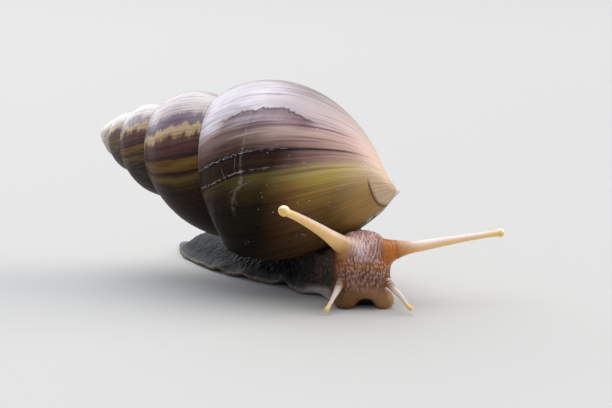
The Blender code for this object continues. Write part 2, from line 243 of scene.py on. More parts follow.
def shell_wall(turn, across, size):
    """Radius and distance from the apex on the wall: across is 0 and 1 at its two sutures, and 2
    at the pillar, where the last whorl's base ends."""
    top = suture(turn, size)
    low = suture(turn + 1, size)
    onto_body = smaller(larger(turn - (size["Whorls"] - 1.5), 0.0), 1.0)
    onto_body = onto_body**2 * (3 - 2 * onto_body)
    bulge = size["Spire bulge"] + (size["Body bulge"] - size["Spire bulge"]) * onto_body
    leaving, arriving = arched([b - a for a, b in zip(top, low)], bulge)
    band = hermite(top, leaving, low, arriving, smaller(across, 1.0))
    share = low[1] / suture(size["Whorls"] + 1, size)[1]
    below = size["Length"] - size["Suture from apex"]
    foot = (size["Pillar share"] * low[0], top[1] + below * share)
    chord = [b - a for a, b in zip(low, foot)]
    stretch = size["Base fullness"] * (
        (chord[0] ** 2 + chord[1] ** 2) / (arriving[0] ** 2 + arriving[1] ** 2)
    ) ** 0.5
    onwards = [stretch * a for a in arriving]
    arriving_low = arched(chord, size["Base bulge"])[1]
    base = hermite(low, onwards, foot, arriving_low, larger(across - 1, 0.0))
    over = is_past(across, 1.0)
    return [b + over * (c - b) for b, c in zip(band, base)]


def lip_lag(across, size):
    """Whorls by which a growth line trails its two ends."""
    return size["Lip lag"] / (2 * math.pi) * across * (2 - across)


def new_tree(name, inputs, outputs):
    """A Geometry Nodes tree with these named sockets, and its inputs as wires."""
    tree = bpy.data.node_groups.new(name, "GeometryNodeTree")
    for title, kind in inputs:
        tree.interface.new_socket(name=title, in_out="INPUT", socket_type="NodeSocket" + kind)
    for title, kind in outputs:
        tree.interface.new_socket(name=title, in_out="OUTPUT", socket_type="NodeSocket" + kind)
    given = tree.nodes.new("NodeGroupInput")
    return tree, {title: Wire(tree, given.outputs[title]) for title, _ in inputs}


def close_tree(tree, results):
    """Connects the tree's outputs."""
    end = tree.nodes.new("NodeGroupOutput")
    for title, wire in results.items():
        tree.links.new(wire.socket, end.inputs[title])


def run_tree(tree, obj, values):
    """The object's mesh after the tree, with its inputs set by their identifiers."""
    modifier = obj.modifiers.new(tree.name, "NODES")
    modifier.node_group = tree
    for item in tree.interface.items_tree:
        if item.item_type == "SOCKET" and item.in_out == "INPUT" and item.name in values:
            modifier[item.identifier] = values[item.name]
    graph = bpy.context.evaluated_depsgraph_get()
    mesh = bpy.data.meshes.new_from_object(obj.evaluated_get(graph))
    obj.modifiers.remove(modifier)
    return mesh


def build_wall_tree():
    """The wall's formula as a group: a place on the shell about its own axis, apex at 0."""
    inputs = [(title, "Float") for title in (*SHELL_SIZES, "Turn", "Across")]
    tree, given = new_tree("whorl wall", inputs, [("Place", "Vector")])
    radius, height = shell_wall(given["Turn"], given["Across"], given)
    angle = (given["Turn"] - given["Whorls"]) * (2 * math.pi)
    x = radius * angle.calc("COSINE")
    y = radius * angle.calc("SINE")
    close_tree(tree, {"Place": angle.vector(x, y, height)})
    return tree


def moved(root, geometry, how, vector):
    """The mesh set at this Position, or shifted by this Offset."""
    return root.add("GeometryNodeSetPosition", None, {"Geometry": geometry, how: vector})


def grid(root, width, columns, rows, middle):
    """A grid of the shell's own coordinates: along the spiral in x, across the whorl in y."""
    sizes = {"Size X": width, "Size Y": 1.0, "Vertices X": columns + 1, "Vertices Y": rows + 1}
    return moved(root, root.add("GeometryNodeMeshGrid", None, sizes), "Offset", middle)


def raised(root, geometry, height, material):
    """The mesh with each point raised along its normal, then made real and given its material."""
    normal = root.add("GeometryNodeInputNormal")
    lift = root.add("ShaderNodeVectorMath", {"operation": "SCALE"}, {0: normal, "Scale": height})
    geometry = moved(root, geometry, "Offset", lift)
    geometry = root.add("GeometryNodeRealizeInstances", None, {"Geometry": geometry})
    painted = {"Geometry": geometry, "Material": material}
    return root.add("GeometryNodeSetMaterial", None, painted)


def shell_relief(root, turn, across, size):
    """Height of the growth ridges and of the old breaks, fading out at sutures and edges."""
    growth = growth_time(turn, across)
    swell = size["Radius growth"] ** (turn - size["Whorls"])
    fine = root.noise(root.vector(growth * 150, across * 1.1, turn), 3.0) - 0.5
    broad = root.noise(root.vector(growth * 34, across * 0.9, turn), 2.0) - 0.5
    dents = root.noise(root.vector(growth * 7, across * 4.0, turn), 1.0) - 0.5
    ridges = fine * 0.9 + broad * 1.1 + dents * 2.4
    breaks = growth.line(OLD_LIPS[1] + 0.0015, 0.006) * 1.3
    breaks = breaks + growth.line(OLD_LIPS[0] - 0.001, 0.005) * 0.9
    breaks = breaks + growth.line(MENDED_BREAK + 0.016, 0.004) * across.line(1.0, 0.45) * 1.6
    spire = turn.fade(size["Whorls"] - 1.0, size["Whorls"] - 0.98)
    edge = across.ramp(0.0, 0.1) * (1 - across.ramp(0.9, 1.0) * spire)
    edge = edge * across.fade(1.85, 2.0) * turn.fade(size["Whorls"] - 0.07, size["Whorls"])
    worn_smooth = 0.25 + 0.75 * turn.ramp(1.5, 5.0)
    return (ridges - breaks) * edge * swell * worn_smooth * size["Ridge height"]


def growth_time(turn, across):
    """When this place grew, in whorls: a growth line lies further back towards the base."""
    return turn + 0.055 * across + 0.004 * across**5


def build_shell_tree():
    """Walls and mouth as grids bent to the wall's formula, welded together and ridged."""
    inputs = [("Geometry", "Geometry"), ("Material", "Material")]
    inputs += [(title, "Float") for title in SHELL_SIZES]
    tree, given = new_tree("shell", inputs, [("Geometry", "Geometry")])
    root = Wire(tree)
    whorls = given["Whorls"]
    wall_tree = build_wall_tree()

    def wall(turn, across):
        sizes = {title: given[title] for title in SHELL_SIZES}
        sizes.update({"Turn": turn, "Across": across})
        return root.add("GeometryNodeGroup", {"node_tree": wall_tree}, sizes)

    def chips(across):
        broken = root.noise(root.vector(across * 9, 0.0), 4.0, 0.7) - 0.5
        return larger(broken, 0.0) * given["Lip chips"] * 6

    along, across, _ = root.add("GeometryNodeInputPosition").split()

    length = whorls - FIRST_WHORL
    band_middle = root.vector(FIRST_WHORL + length / 2, 0.5)
    band = grid(root, length, length * ROWS, COLUMNS, band_middle)
    base = grid(root, 1.0, ROWS, COLUMNS, root.vector(whorls - 0.5, 1.5))
    walls = root.add("GeometryNodeJoinGeometry", None, {0: [band, base]})
    on_body = larger(along - (whorls - 1), 0.0)
    near_lip = along.ramp(whorls - 0.04, whorls)
    turn = along - on_body * lip_lag(across, given) - near_lip * chips(across)
    walls = store(root, walls, "relief", "FLOAT", "POINT", shell_relief(root, turn, across, given))
    walls = store(root, walls, "growth", "FLOAT2", "CORNER", root.vector(turn, across))
    walls = moved(root, walls, "Position", wall(turn, across))

    mouth = grid(root, 2.0, 2 * COLUMNS, MOUTH_COLUMNS, root.vector(1.0, 0.5))
    shallower = along * (2 - along)  # towards the mouth's two ends
    depth = across.within(0.08, 0.4, 0.75, 1.0) * shallower.calc("SQRT")
    back = depth * given["Mouth depth"] / (2 * math.pi)
    lip = wall(whorls - lip_lag(along, given) - chips(along) - back, along)
    pillar = wall(whorls - 1 + larger(along - 1, 0.0) - back, 1 + smaller(along, 1.0))
    apart = root.add("ShaderNodeVectorMath", {"operation": "DISTANCE"}, {0: lip, 1: pillar}, "Value")
    thickness = smaller(given["Lip wall"] / larger(apart, 0.01), 0.3)
    thickness = thickness * across.ramp(0.0, 0.1)
    share = thickness + (1 - thickness) * across.ramp(0.4, 1.0)
    between = {0: share, 4: lip, 5: pillar}
    hollow = root.add("ShaderNodeMix", {"data_type": "VECTOR"}, between, 1)
    mouth = store(root, mouth, "growth", "FLOAT2", "CORNER", root.vector(whorls, across + 3))
    mouth = moved(root, mouth, "Position", hollow)

    shell = root.add("GeometryNodeJoinGeometry", None, {0: [walls, mouth]})
    shell = root.add("GeometryNodeMergeByDistance", None, {"Geometry": shell, "Distance": WELD})
    relief = root.add("GeometryNodeInputNamedAttribute", {"data_type": "FLOAT"}, {"Name": "relief"})
    close_tree(tree, {"Geometry": raised(root, shell, relief, given["Material"])})
    return tree


def store(root, geometry, name, data_type, domain, value):
    """The mesh with this value kept on it by name."""
    settings = {"data_type": data_type, "domain": domain}
    inputs = {"Geometry": geometry, "Name": name, "Value": value}
    return root.add("GeometryNodeStoreNamedAttribute", settings, inputs)


def new_object(name, mesh):
    """A mesh object in the scene, at the origin."""
    obj = bpy.data.objects.new(name, mesh)
    bpy.context.scene.collection.objects.link(obj)
    return obj


def new_material(name, roughness):
    """A material, its nodes as a wire, and its shader."""
    material = bpy.data.materials.new(name)
    material.use_nodes = True
    shader = material.node_tree.nodes["Principled BSDF"]
    shader.inputs["Roughness"].default_value = roughness
    return material, Wire(material.node_tree), shader


def connect(wire, shader, name):
    """Leads a wire into the shader's input of this name."""
    wire.tree.links.new(wire.socket, shader.inputs[name])


def add_bump(height, shader, strength, depth):
    """Gives the shader a relief of this height, depth metres deep at 1."""
    bump = {"Strength": strength, "Distance": depth, "Height": height}
    connect(height.add("ShaderNodeBump", None, bump), shader, "Normal")


LEVEL_REACH = math.cos(SHELL_DIP)
AXIS = Vector((
    math.sin(SHELL_HEADING) * LEVEL_REACH,
    -math.cos(SHELL_HEADING) * LEVEL_REACH,
    -math.sin(SHELL_DIP),
))
LEVEL = Vector((0, 0, 1)).cross(AXIS).normalized()
DOWN = LEVEL.cross(AXIS)
SHELL_PLACE = (
    Matrix.Translation(SHELL_APEX)
    @ Matrix((DOWN, LEVEL, AXIS)).transposed().to_4x4()
    @ Matrix.Rotation(LIP_ROLL, 4, "Z")
)
BELOW = Vector((0.268, 0.292, -0.918))  # square to the axis, away from the base's upper side
OUT_AND_DOWN = Vector((0.524, -0.367, -0.77))


def eased(value, low, high):
    """0 below low, 1 above high, and a smooth step between them."""
    t = np.clip((value - low) / (high - low), 0, 1)
    return t * t * (3 - 2 * t)


def bent(place):
    """A place on the shell once the base's point is turned up and its lower lip spread."""
    reach = (place - SHELL_APEX).dot(AXIS)
    share = max((reach - TIP_FROM) / (SHELL_SIZES["Length"] - TIP_FROM), 0)
    flare = eased(reach, *FLARE_ALONG) * eased((place - SHELL_APEX).dot(BELOW), *FLARE_BELOW)
    return place + Vector((0, 0, TIP_LIFT * share**2)) + OUT_AND_DOWN * float(LIP_FLARE * flare)


def shell_point(turn, across):
    """A place on the shell's wall in the part's frame."""
    radius, height = shell_wall(turn, across, SHELL_SIZES)
    angle = 2 * math.pi * (turn - SHELL_SIZES["Whorls"])
    place = SHELL_PLACE @ Vector((radius * math.cos(angle), radius * math.sin(angle), height))
    return bent(place)


def mix(share, one, two):
    """Colour one where share is 0 and colour two where it is 1."""
    one, two = ((*c, 1.0) if isinstance(c, tuple) else c for c in (one, two))
    return share.add("ShaderNodeMix", {"data_type": "RGBA"}, {0: share, 6: one, 7: two}, 2)


def multiplied(share, colour, by):
    """The colour, and where share is 1 the colour times another."""
    settings = {"data_type": "RGBA", "blend_type": "MULTIPLY"}
    return share.add("ShaderNodeMix", settings, {0: share, 6: colour, 7: (*by, 1.0)}, 2)


def bands(value, span, colours):
    """Colours at these values, all within the span, and blended between them."""
    low, high = span
    stops = [((at - low) / (high - low), colour) for at, colour in colours]
    share = (value - low) / (high - low)
    return share.add("ShaderNodeValToRGB", {"stops": stops}, {0: share}, "Color")


LAST_WHORL_TIMES = (5.5, 6.6)  # the growth, in whorls, that the next three tables cover
# The suture and middle tables paint light in: their pale shoulder rows are a painted sheen, their
# darkest rows low down partly painted shade over dark brown.
SUTURE_COLOURS_WITH_SHEEN_AND_SHADE = (  # colours of the last whorl by the time they grew, up by the suture
    (5.50, (0.15, 0.08, 0.05)),
    (5.95, (0.30, 0.22, 0.17)),
    (6.06, (0.34, 0.29, 0.26)),
    (6.12, (0.42, 0.38, 0.40)),
    (6.175, (0.66, 0.62, 0.68)),
    (6.208, (0.68, 0.63, 0.68)),
    (6.228, (0.62, 0.54, 0.57)),
    (6.246, (0.26, 0.18, 0.17)),
    (6.278, (0.13, 0.075, 0.055)),
    (6.30, (0.035, 0.018, 0.014)),
    (6.335, (0.028, 0.014, 0.006)),
    (6.345, (0.075, 0.052, 0.014)),
    (6.37, (0.020, 0.013, 0.004)),
    (6.42, (0.007, 0.005, 0.002)),
)
MIDDLE_COLOURS_WITH_SHEEN_AND_SHADE = (  # the same across its middle
    (5.50, (0.15, 0.08, 0.05)),
    (5.95, (0.30, 0.22, 0.17)),
    (6.06, (0.36, 0.30, 0.24)),
    (6.15, (0.46, 0.39, 0.40)),
    (6.205, (0.50, 0.41, 0.44)),
    (6.24, (0.50, 0.38, 0.40)),
    (6.264, (0.62, 0.45, 0.38)),
    (6.288, (0.24, 0.14, 0.12)),
    (6.30, (0.055, 0.028, 0.02)),
    (6.335, (0.05, 0.028, 0.013)),
    (6.345, (0.13, 0.095, 0.03)),
    (6.375, (0.045, 0.028, 0.007)),
    (6.41, (0.012, 0.008, 0.003)),
    (6.60, (0.006, 0.004, 0.002)),
)
BASE_COLOURS = (  # and out at its base
    (5.50, (0.15, 0.08, 0.05)),
    (5.95, (0.33, 0.25, 0.18)),
    (6.06, (0.38, 0.31, 0.21)),
    (6.15, (0.62, 0.52, 0.44)),
    (6.21, (0.64, 0.50, 0.46)),
    (6.26, (0.62, 0.43, 0.39)),
    (6.30, (0.62, 0.39, 0.33)),
    (6.331, (0.50, 0.30, 0.24)),
    (6.342, (0.68, 0.52, 0.22)),
    (6.37, (0.58, 0.42, 0.10)),
    (6.41, (0.32, 0.19, 0.04)),
    (6.46, (0.17, 0.09, 0.022)),
    (6.55, (0.11, 0.06, 0.018)),
)
FLAME_COLOURS_WITH_SHEEN_AND_SHADE = (  # colours of the older whorls by their share of a turn, with painted sheen and shade
    (0.00, (0.45, 0.36, 0.24)),
    (0.09, (0.44, 0.38, 0.34)),
    (0.16, (0.52, 0.47, 0.48)),
    (0.205, (0.46, 0.37, 0.34)),
    (0.218, (0.16, 0.10, 0.15)),
    (0.240, (0.18, 0.12, 0.16)),
    (0.247, (0.60, 0.46, 0.27)),
    (0.266, (0.50, 0.35, 0.17)),
    (0.275, (0.13, 0.06, 0.05)),
    (0.310, (0.075, 0.035, 0.03)),
    (0.319, (0.022, 0.010, 0.012)),
    (0.325, (0.19, 0.11, 0.028)),
    (0.345, (0.12, 0.062, 0.018)),
    (0.353, (0.016, 0.007, 0.006)),
    (0.364, (0.12, 0.075, 0.018)),
    (0.380, (0.05, 0.028, 0.009)),
    (0.392, (0.022, 0.012, 0.006)),
    (0.440, (0.014, 0.008, 0.004)),
    (0.520, (0.014, 0.008, 0.004)),
    (0.560, (0.16, 0.10, 0.04)),
    (0.620, (0.09, 0.04, 0.03)),
    (0.700, (0.30, 0.21, 0.11)),
    (0.760, (0.10, 0.045, 0.04)),
    (0.860, (0.36, 0.26, 0.15)),
    (0.900, (0.11, 0.05, 0.045)),
    (1.00, (0.45, 0.36, 0.24)),
)


def paint_shell():
    """Horny brown and olive skin streaked along the growth lines, with cream where it is worn, and
    painted sheen and shade on the whorls.
    """
    material, root, shader = new_material("snail shell", 0.3)
    shader.inputs["Specular IOR Level"].default_value = 0.06
    shader.inputs["Coat Roughness"].default_value = 0.3
    turn, across, _ = root.add("ShaderNodeUVMap", {"uv_map": "growth"}, None, "UV").split()
    growth = growth_time(turn, across)

    def streaks(per_whorl, over, shift, detail=3.0):
        return root.noise(root.vector(growth * per_whorl, across * over, shift), detail, 0.6)

    fine, medium, broad = streaks(420, 1.6, 1.0), streaks(130, 1.2, 4.0), streaks(38, 0.9, 7.0)
    cloud = root.noise(root.vector(growth * 9, across * 3.0, 2.0), 3.0)
    grain = root.noise(root.vector(turn * 260, across * 40, 3.0), 3.0, 0.6)
    older = growth.fade(5.80, 6.0)

    # last whorl: darkest low down by the suture, dark brown under painted shade; palest on the
    # shoulder, a painted sheen, and out at the base
    when = growth + (medium - 0.5) * 0.010 + (broad - 0.5) * 0.016
    spread = across + (cloud - 0.5) * 0.25
    colour = mix(
        spread.ramp(0.85, 1.2),
        bands(when, LAST_WHORL_TIMES, SUTURE_COLOURS_WITH_SHEEN_AND_SHADE),
        bands(when, LAST_WHORL_TIMES, MIDDLE_COLOURS_WITH_SHEEN_AND_SHADE),
    )
    outer = bands(when + (fine - 0.5) * 0.01, LAST_WHORL_TIMES, BASE_COLOURS)
    colour = mix(spread.ramp(1.2, 1.6), colour, outer)
    lime = spread.ramp(1.55, 1.85) * when.within(6.1, 6.2, 6.36, 6.47)
    colour = mix(lime * 0.75, colour, (0.86, 0.64, 0.50))
    by_lip = spread.ramp(1.6, 1.82) * when.ramp(6.36, 6.44)
    colour = mix(by_lip * 0.55, colour, (0.60, 0.38, 0.12))
    # flames of the older whorls, running from suture to suture with ragged edges
    part = growth.calc("FRACT")
    jagged = root.noise(root.vector(turn * 2, across * 4.8, 5.0), 3.0, 0.62) - 0.5
    part = part + jagged * (0.014 + 0.08 * part.fade(0.27, 0.31))
    part = part + (broad - 0.5) * 0.010 + (medium - 0.5) * 0.008
    # painted light in this table: a pale sheen on each whorl's upper side and painted shade on its
    # lower side
    flames = bands(part, (0.0, 1.0), FLAME_COLOURS_WITH_SHEEN_AND_SHADE)
    colour = mix(older, colour, flames)
    # the oldest whorls are worn to cream, kept off the lower side of each whorl as painted shade
    worn = (turn + (cloud - 0.5) * 1.2).fade(2.4, 5.2)
    shaded_low_side = part.within(0.215, 0.28, 0.5, 0.56)
    worn = worn * (1 - 0.85 * shaded_low_side * turn.ramp(1.4, 3.4))
    cream = mix(medium.ramp(0.45, 0.6), (0.94, 0.90, 0.82), (0.74, 0.66, 0.54))
    colour = mix(worn * 0.92, colour, cream)
    # streaks along the growth lines, and purple ones where growth slowed
    streaky = (1 - worn * 0.75) * (1 - 0.55 * across.ramp(1.45, 1.75))
    umber = across.line(1.34, 0.22) * when.ramp(6.36, 6.38)
    colour = multiplied(umber * 0.85, colour, (0.75, 0.54, 0.5))
    colour = multiplied((medium - 0.46).ramp(0.0, 0.16) * streaky * 0.6, colour, (0.42, 0.32, 0.36))
    colour = multiplied((0.5 - fine).ramp(0.02, 0.2) * streaky * 0.5, colour, (1.7, 1.6, 1.5))
    purple = when.line(6.247, 0.007) * across.within(0.75, 0.95, 1.5, 1.7)
    dome = larger(when.line(6.165, 0.007), when.line(6.139, 0.005) * across.ramp(0.6, 0.9))
    purple = larger(purple, dome * streaks(20, 2.2, 11.0).ramp(0.4, 0.6) * 0.9)
    colour = multiplied(purple * 0.8, colour, (0.42, 0.28, 0.42))
    # old edges of the lip: two dark lines, a pale one above them, and their white chips
    tremble = (broad - 0.5) * 0.008
    shaky = growth + tremble
    first = shaky.line(OLD_LIPS[0], 0.0065) * across.within(0.15, 0.5, 1.55, 1.8)
    second = shaky.line(OLD_LIPS[1], 0.006) * across.fade(1.05, 1.5)
    colour = mix(larger(first * 0.9, second * 0.95), colour, (0.012, 0.006, 0.011))
    pale = shaky.line(6.262, 0.0045) * across.within(0.55, 0.9, 1.3, 1.6)
    colour = mix(pale * 0.6, colour, (0.62, 0.48, 0.38))
    rust = shaky.line(6.215, 0.005) * across.within(0.2, 0.35, 0.7, 0.85)
    rust = larger(rust, (growth - tremble).line(6.243, 0.004) * across.fade(0.7, 0.9) * 0.8)
    colour = mix(rust * 0.55, colour, (0.50, 0.36, 0.20))
    flecks_and_glint = root.noise(root.vector(growth * 520, across * 17, 9.0), 3.0, 0.6)
    edge = larger(shaky.line(OLD_LIPS[0] - 0.0025, 0.004), shaky.line(OLD_LIPS[1] - 0.0035, 0.0035))
    flecks_and_glint = flecks_and_glint.ramp(0.52, 0.6) * edge * across.fade(0.95, 1.5) * 0.75
    # a mended break with painted shade below it and a painted highlight on its ledge, and the pale
    # track of an old scratch round the whorl
    ragged = root.noise(root.vector(across * 12, 0.0, 0.0), 3.0, 0.6) - 0.5
    scar = growth + ragged * 0.028 - 0.006 - MENDED_BREAK
    scar = scar - 0.008 * across.fade(0.5, 0.8) - 0.025 * across.ramp(1.1, 1.4)
    over_scar = across.within(0.36, 0.6, 1.3, 1.4)
    shade = scar.within(-0.003, 0.002, 0.004, 0.034)
    colour = multiplied(shade * over_scar * 0.8, colour, (0.38, 0.27, 0.30))
    colour = mix(scar.line(-0.001, 0.005) * over_scar * 0.9, colour, (0.06, 0.025, 0.025))
    # painted highlight: a pale line along the ledge just above the mended break
    flecks_and_glint = larger(flecks_and_glint, scar.line(-0.008, 0.0045) * across.line(0.93, 0.16) * 0.95)
    track = 0.83 + (turn - 6.168) * 1.95 - (turn - 6.28).ramp(0.0, 0.06) * 0.11
    off = across - track + (root.noise(root.vector(turn * 70, 0.0, 4.0), 2.0) - 0.5) * 0.03
    here = turn.within(6.13, 6.18, 6.30, 6.37)
    broken = root.noise(root.vector(turn * 160, across * 20, 6.0), 2.0).ramp(0.42, 0.62)
    flecks_and_glint = larger(flecks_and_glint, off.line(0.0, 0.028) * here * (0.1 + broken * 0.5) * 0.32)
    for start, lean, where in SCRATCHES:
        scratch = (across - where - (turn - start) * lean).line(0.0, 0.007)
        flecks_and_glint = larger(flecks_and_glint, scratch * turn.line(start, 0.022) * 0.3)
    dots = root.cells(root.vector(turn * 110, across * 24))
    chosen = root.noise(root.vector(turn * 14, across * 6, 8.0), 1.0).ramp(0.55, 0.6)
    chosen = chosen * (0.25 + 0.75 * across.ramp(1.0, 1.4))
    flecks_and_glint = larger(flecks_and_glint, dots.fade(0.06, 0.14) * chosen * 0.8)
    colour = mix(flecks_and_glint * 0.85, colour, (0.82, 0.75, 0.70))
    # the base: a crack, bare tan lime beyond it, and the white point
    crack = across - 1.776 - (turn - 6.23) * 0.75 + ragged * 0.02
    near_lip = turn.ramp(6.215, 6.26)
    bare = (crack + (cloud - 0.5) * 0.03).ramp(0.0, 0.03) * turn.ramp(6.12, 6.26)
    tan = mix(medium.ramp(0.3, 0.7), (0.80, 0.62, 0.46), (0.50, 0.34, 0.22))
    colour = mix(bare * 0.8, colour, tan)
    colour = mix(crack.line(0.0, 0.012) * near_lip * 0.9, colour, (0.10, 0.04, 0.025))
    colour = mix((across + grain * 0.02).ramp(1.978, 1.992), colour, (0.84, 0.78, 0.68))
    # dried slime and soil by the lip's lower end
    slime = (turn + (grain - 0.5) * 0.03).line(6.465, 0.08)
    slime = (slime * (across + (cloud - 0.5) * 0.08).line(1.85, 0.11)).ramp(0.15, 0.35)
    clots = root.noise(root.vector(turn * 110, across * 32, 12.0), 3.0, 0.6)
    dirt = mix(clots.ramp(0.42, 0.56), (0.012, 0.011, 0.009), (0.62, 0.58, 0.44))
    colour = mix(slime * 0.92, colour, dirt)
    # pale rims below the sutures, partly worn and partly painted highlight, stronger on the lit side;
    # painted shade in the sutures
    lit_side = 1 - larger(part.within(0.27, 0.36, 0.5, 0.6), growth.ramp(6.24, 6.32))
    under_suture = (across + (medium - 0.5) * 0.05).fade(0.0, 0.07)
    colour = mix(under_suture * (0.1 + 0.3 * lit_side), colour, (0.55, 0.47, 0.40))
    # painted shade: a dark line down in each suture
    seam = larger(across.fade(0.0, 0.012), across.line(1.0, 0.012) * turn.fade(5.45, 5.5))
    colour = mix(seam * 0.8, colour, (0.05, 0.03, 0.02))
    # the thin lip and the lining
    lip = (turn + (grain - 0.5) * 0.02 + across.ramp(1.5, 1.95) * 0.022).ramp(6.484, 6.495)
    at_lip = turn + lip_lag(across, SHELL_SIZES)
    pale_edge = (at_lip + grain * 0.006).line(6.466, 0.022) * (across + grain * 0.03).ramp(1.86, 1.92)
    dark_edge = at_lip.ramp(6.476, 6.486) * across.ramp(1.45, 1.6)
    lip = lip * across.ramp(0.9, 1.4)
    chipped = mix(clots.ramp(0.5, 0.56), (0.03, 0.024, 0.022), (0.74, 0.68, 0.62))
    rim = mix(across.within(1.45, 1.65, 1.93, 1.97), (0.70, 0.62, 0.54), chipped)
    colour = mix(lip * 0.8, colour, rim)
    colour = mix(pale_edge * clots.ramp(0.34, 0.44) * 0.9, colour, (0.92, 0.86, 0.82))
    colour = mix(dark_edge * 0.9, colour, (0.02, 0.017, 0.016))
    lining = across.ramp(2.4, 2.6)
    inside = mix(across.ramp(3.0, 3.25), (0.70, 0.62, 0.54), (0.50, 0.46, 0.50))
    colour = mix(lining, colour, inside)
    connect(colour, shader, "Base Color")

    rough = 0.34 + fine * 0.12 + cloud * 0.08 + worn * 0.08 + slime * 0.2
    connect(rough, shader, "Roughness")
    outside = 1 - lining
    gloss = larger(growth.fade(6.18, 6.30), across.ramp(1.2, 1.6) * 0.5)
    gloss = gloss * (1 - older * part.within(0.24, 0.33, 0.6, 0.8))
    connect((0.02 + gloss * 0.65) * (1 - slime) * outside, shader, "Coat Weight")
    height = fine * 0.5 + medium * 0.9 + grain * 0.12 - seam * 0.4 - crack.line(0.0, 0.01) * near_lip
    height = height + flecks_and_glint * 0.25 + slime * grain * 1.2 - scar.line(-0.001, 0.004) * over_scar * 0.8
    height = height * outside * (0.1 + 0.9 * turn.ramp(1.0, 5.4))
    add_bump(height, shader, 0.6, FINEST_RELIEF)
    return material


def finish_shell(mesh):
    """Closes the shell's open ends, turns its faces outwards and brings it to its place."""
    bm = bmesh.new()
    bm.from_mesh(mesh)
    open_edges = [edge for edge in bm.edges if len(edge.link_faces) == 1]
    lids = bmesh.ops.holes_fill(bm, edges=open_edges, sides=0)["faces"]
    apex = [lid for lid in lids if len(lid.verts) > COLUMNS]
    bmesh.ops.poke(bm, faces=apex)
    bmesh.ops.triangulate(bm, faces=[face for face in bm.faces if len(face.verts) > 4])
    bmesh.ops.recalc_face_normals(bm, faces=bm.faces)
    for vertex in bm.verts:
        vertex.co = bent(SHELL_PLACE @ vertex.co)
    bm.to_mesh(mesh)
    bm.free()
    mesh.transform(Matrix.Scale(MM, 4))
    mesh.shade_smooth()
    mesh.set_sharp_from_angle(angle=SHARP_ANGLE)


shell_material = paint_shell()
shell = new_object("snail_shell", bpy.data.meshes.new("shell"))
shell.data = run_tree(build_shell_tree(), shell, {**SHELL_SIZES, "Material": shell_material})
finish_shell(shell.data)
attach(shell, "root")
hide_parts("shell")

# ---- Skin -------------------------------------------------------------------------------
# One soft wet hide: a broad foot with a thin frilled margin, the stalk up into the shell, the
# collar in the shell's mouth, neck, snout, lips and four feelers, with no joint or seam. It is
# one mesh here, grown together from plain lofts where the body's solids are, and then wrinkled.

FOOT_SHAPE = (  # y, middle x, half width, back height, stalk height
    (43.8, 0.6, 0.8, 0.7, 0.0),
    (42.6, 0.5, 1.6, 0.9, 0.0),
    (39.5, 0.2, 2.8, 1.3, 0.0),
    (35.9, 0.0, 4.6, 2.7, 0.0),
    (32.5, 0.2, 6.3, 4.5, 0.0),
    (29.2, 0.3, 7.7, 5.5, 0.0),
    (22.0, 0.6, 9.3, 6.6, 0.0),
    (12.0, 1.2, 10.8, 7.4, 0.0),
    (2.0, 2.1, 10.8, 7.6, 1.0),
    (-8.0, 3.1, 9.6, 8.4, 7.0),
    (-15.0, 3.3, 9.2, 8.6, 12.0),
    (-20.0, 3.0, 8.6, 8.8, 10.0),
    (-23.4, 2.4, 6.6, 9.2, 4.0),
    (-26.2, 1.2, 5.7, 9.0, 0.0),
    (-28.4, 0.6, 4.2, 8.6, 0.0),
)
FOOT_TAIL, FOOT_FRONT = FOOT_SHAPE[0][0], FOOT_SHAPE[-1][0]
FOOT_SECTIONS = 180
BACK_POINTS, SOLE_POINTS = 49, 27  # across a section of the foot
STALK_HALF_WIDTH = 5.2
MARGIN = 0.55  # thickness of the foot's margin
WAVES = {  # y, half length and lift of each wave in the right and the left margin
    -1: (
        (16.5, 2.0, 0.3),
        (9.6, 2.3, 0.8),
        (1.2, 2.4, 0.8),
        (-4.0, 1.5, 0.3),
        (-11.0, 2.6, 1.3),
        (-21.0, 2.2, 1.0),
    ),
    1: ((20.0, 2.4, 0.5), (11.0, 2.6, 0.9), (3.0, 2.0, 0.5), (-6.5, 2.8, 1.1), (-16.5, 2.3, 0.8)),
}
WAVES_FROM = 0.72  # the share of the foot's half width beyond which they lift it
SHELL_GAP = 0.55  # between the flesh and the shell above it

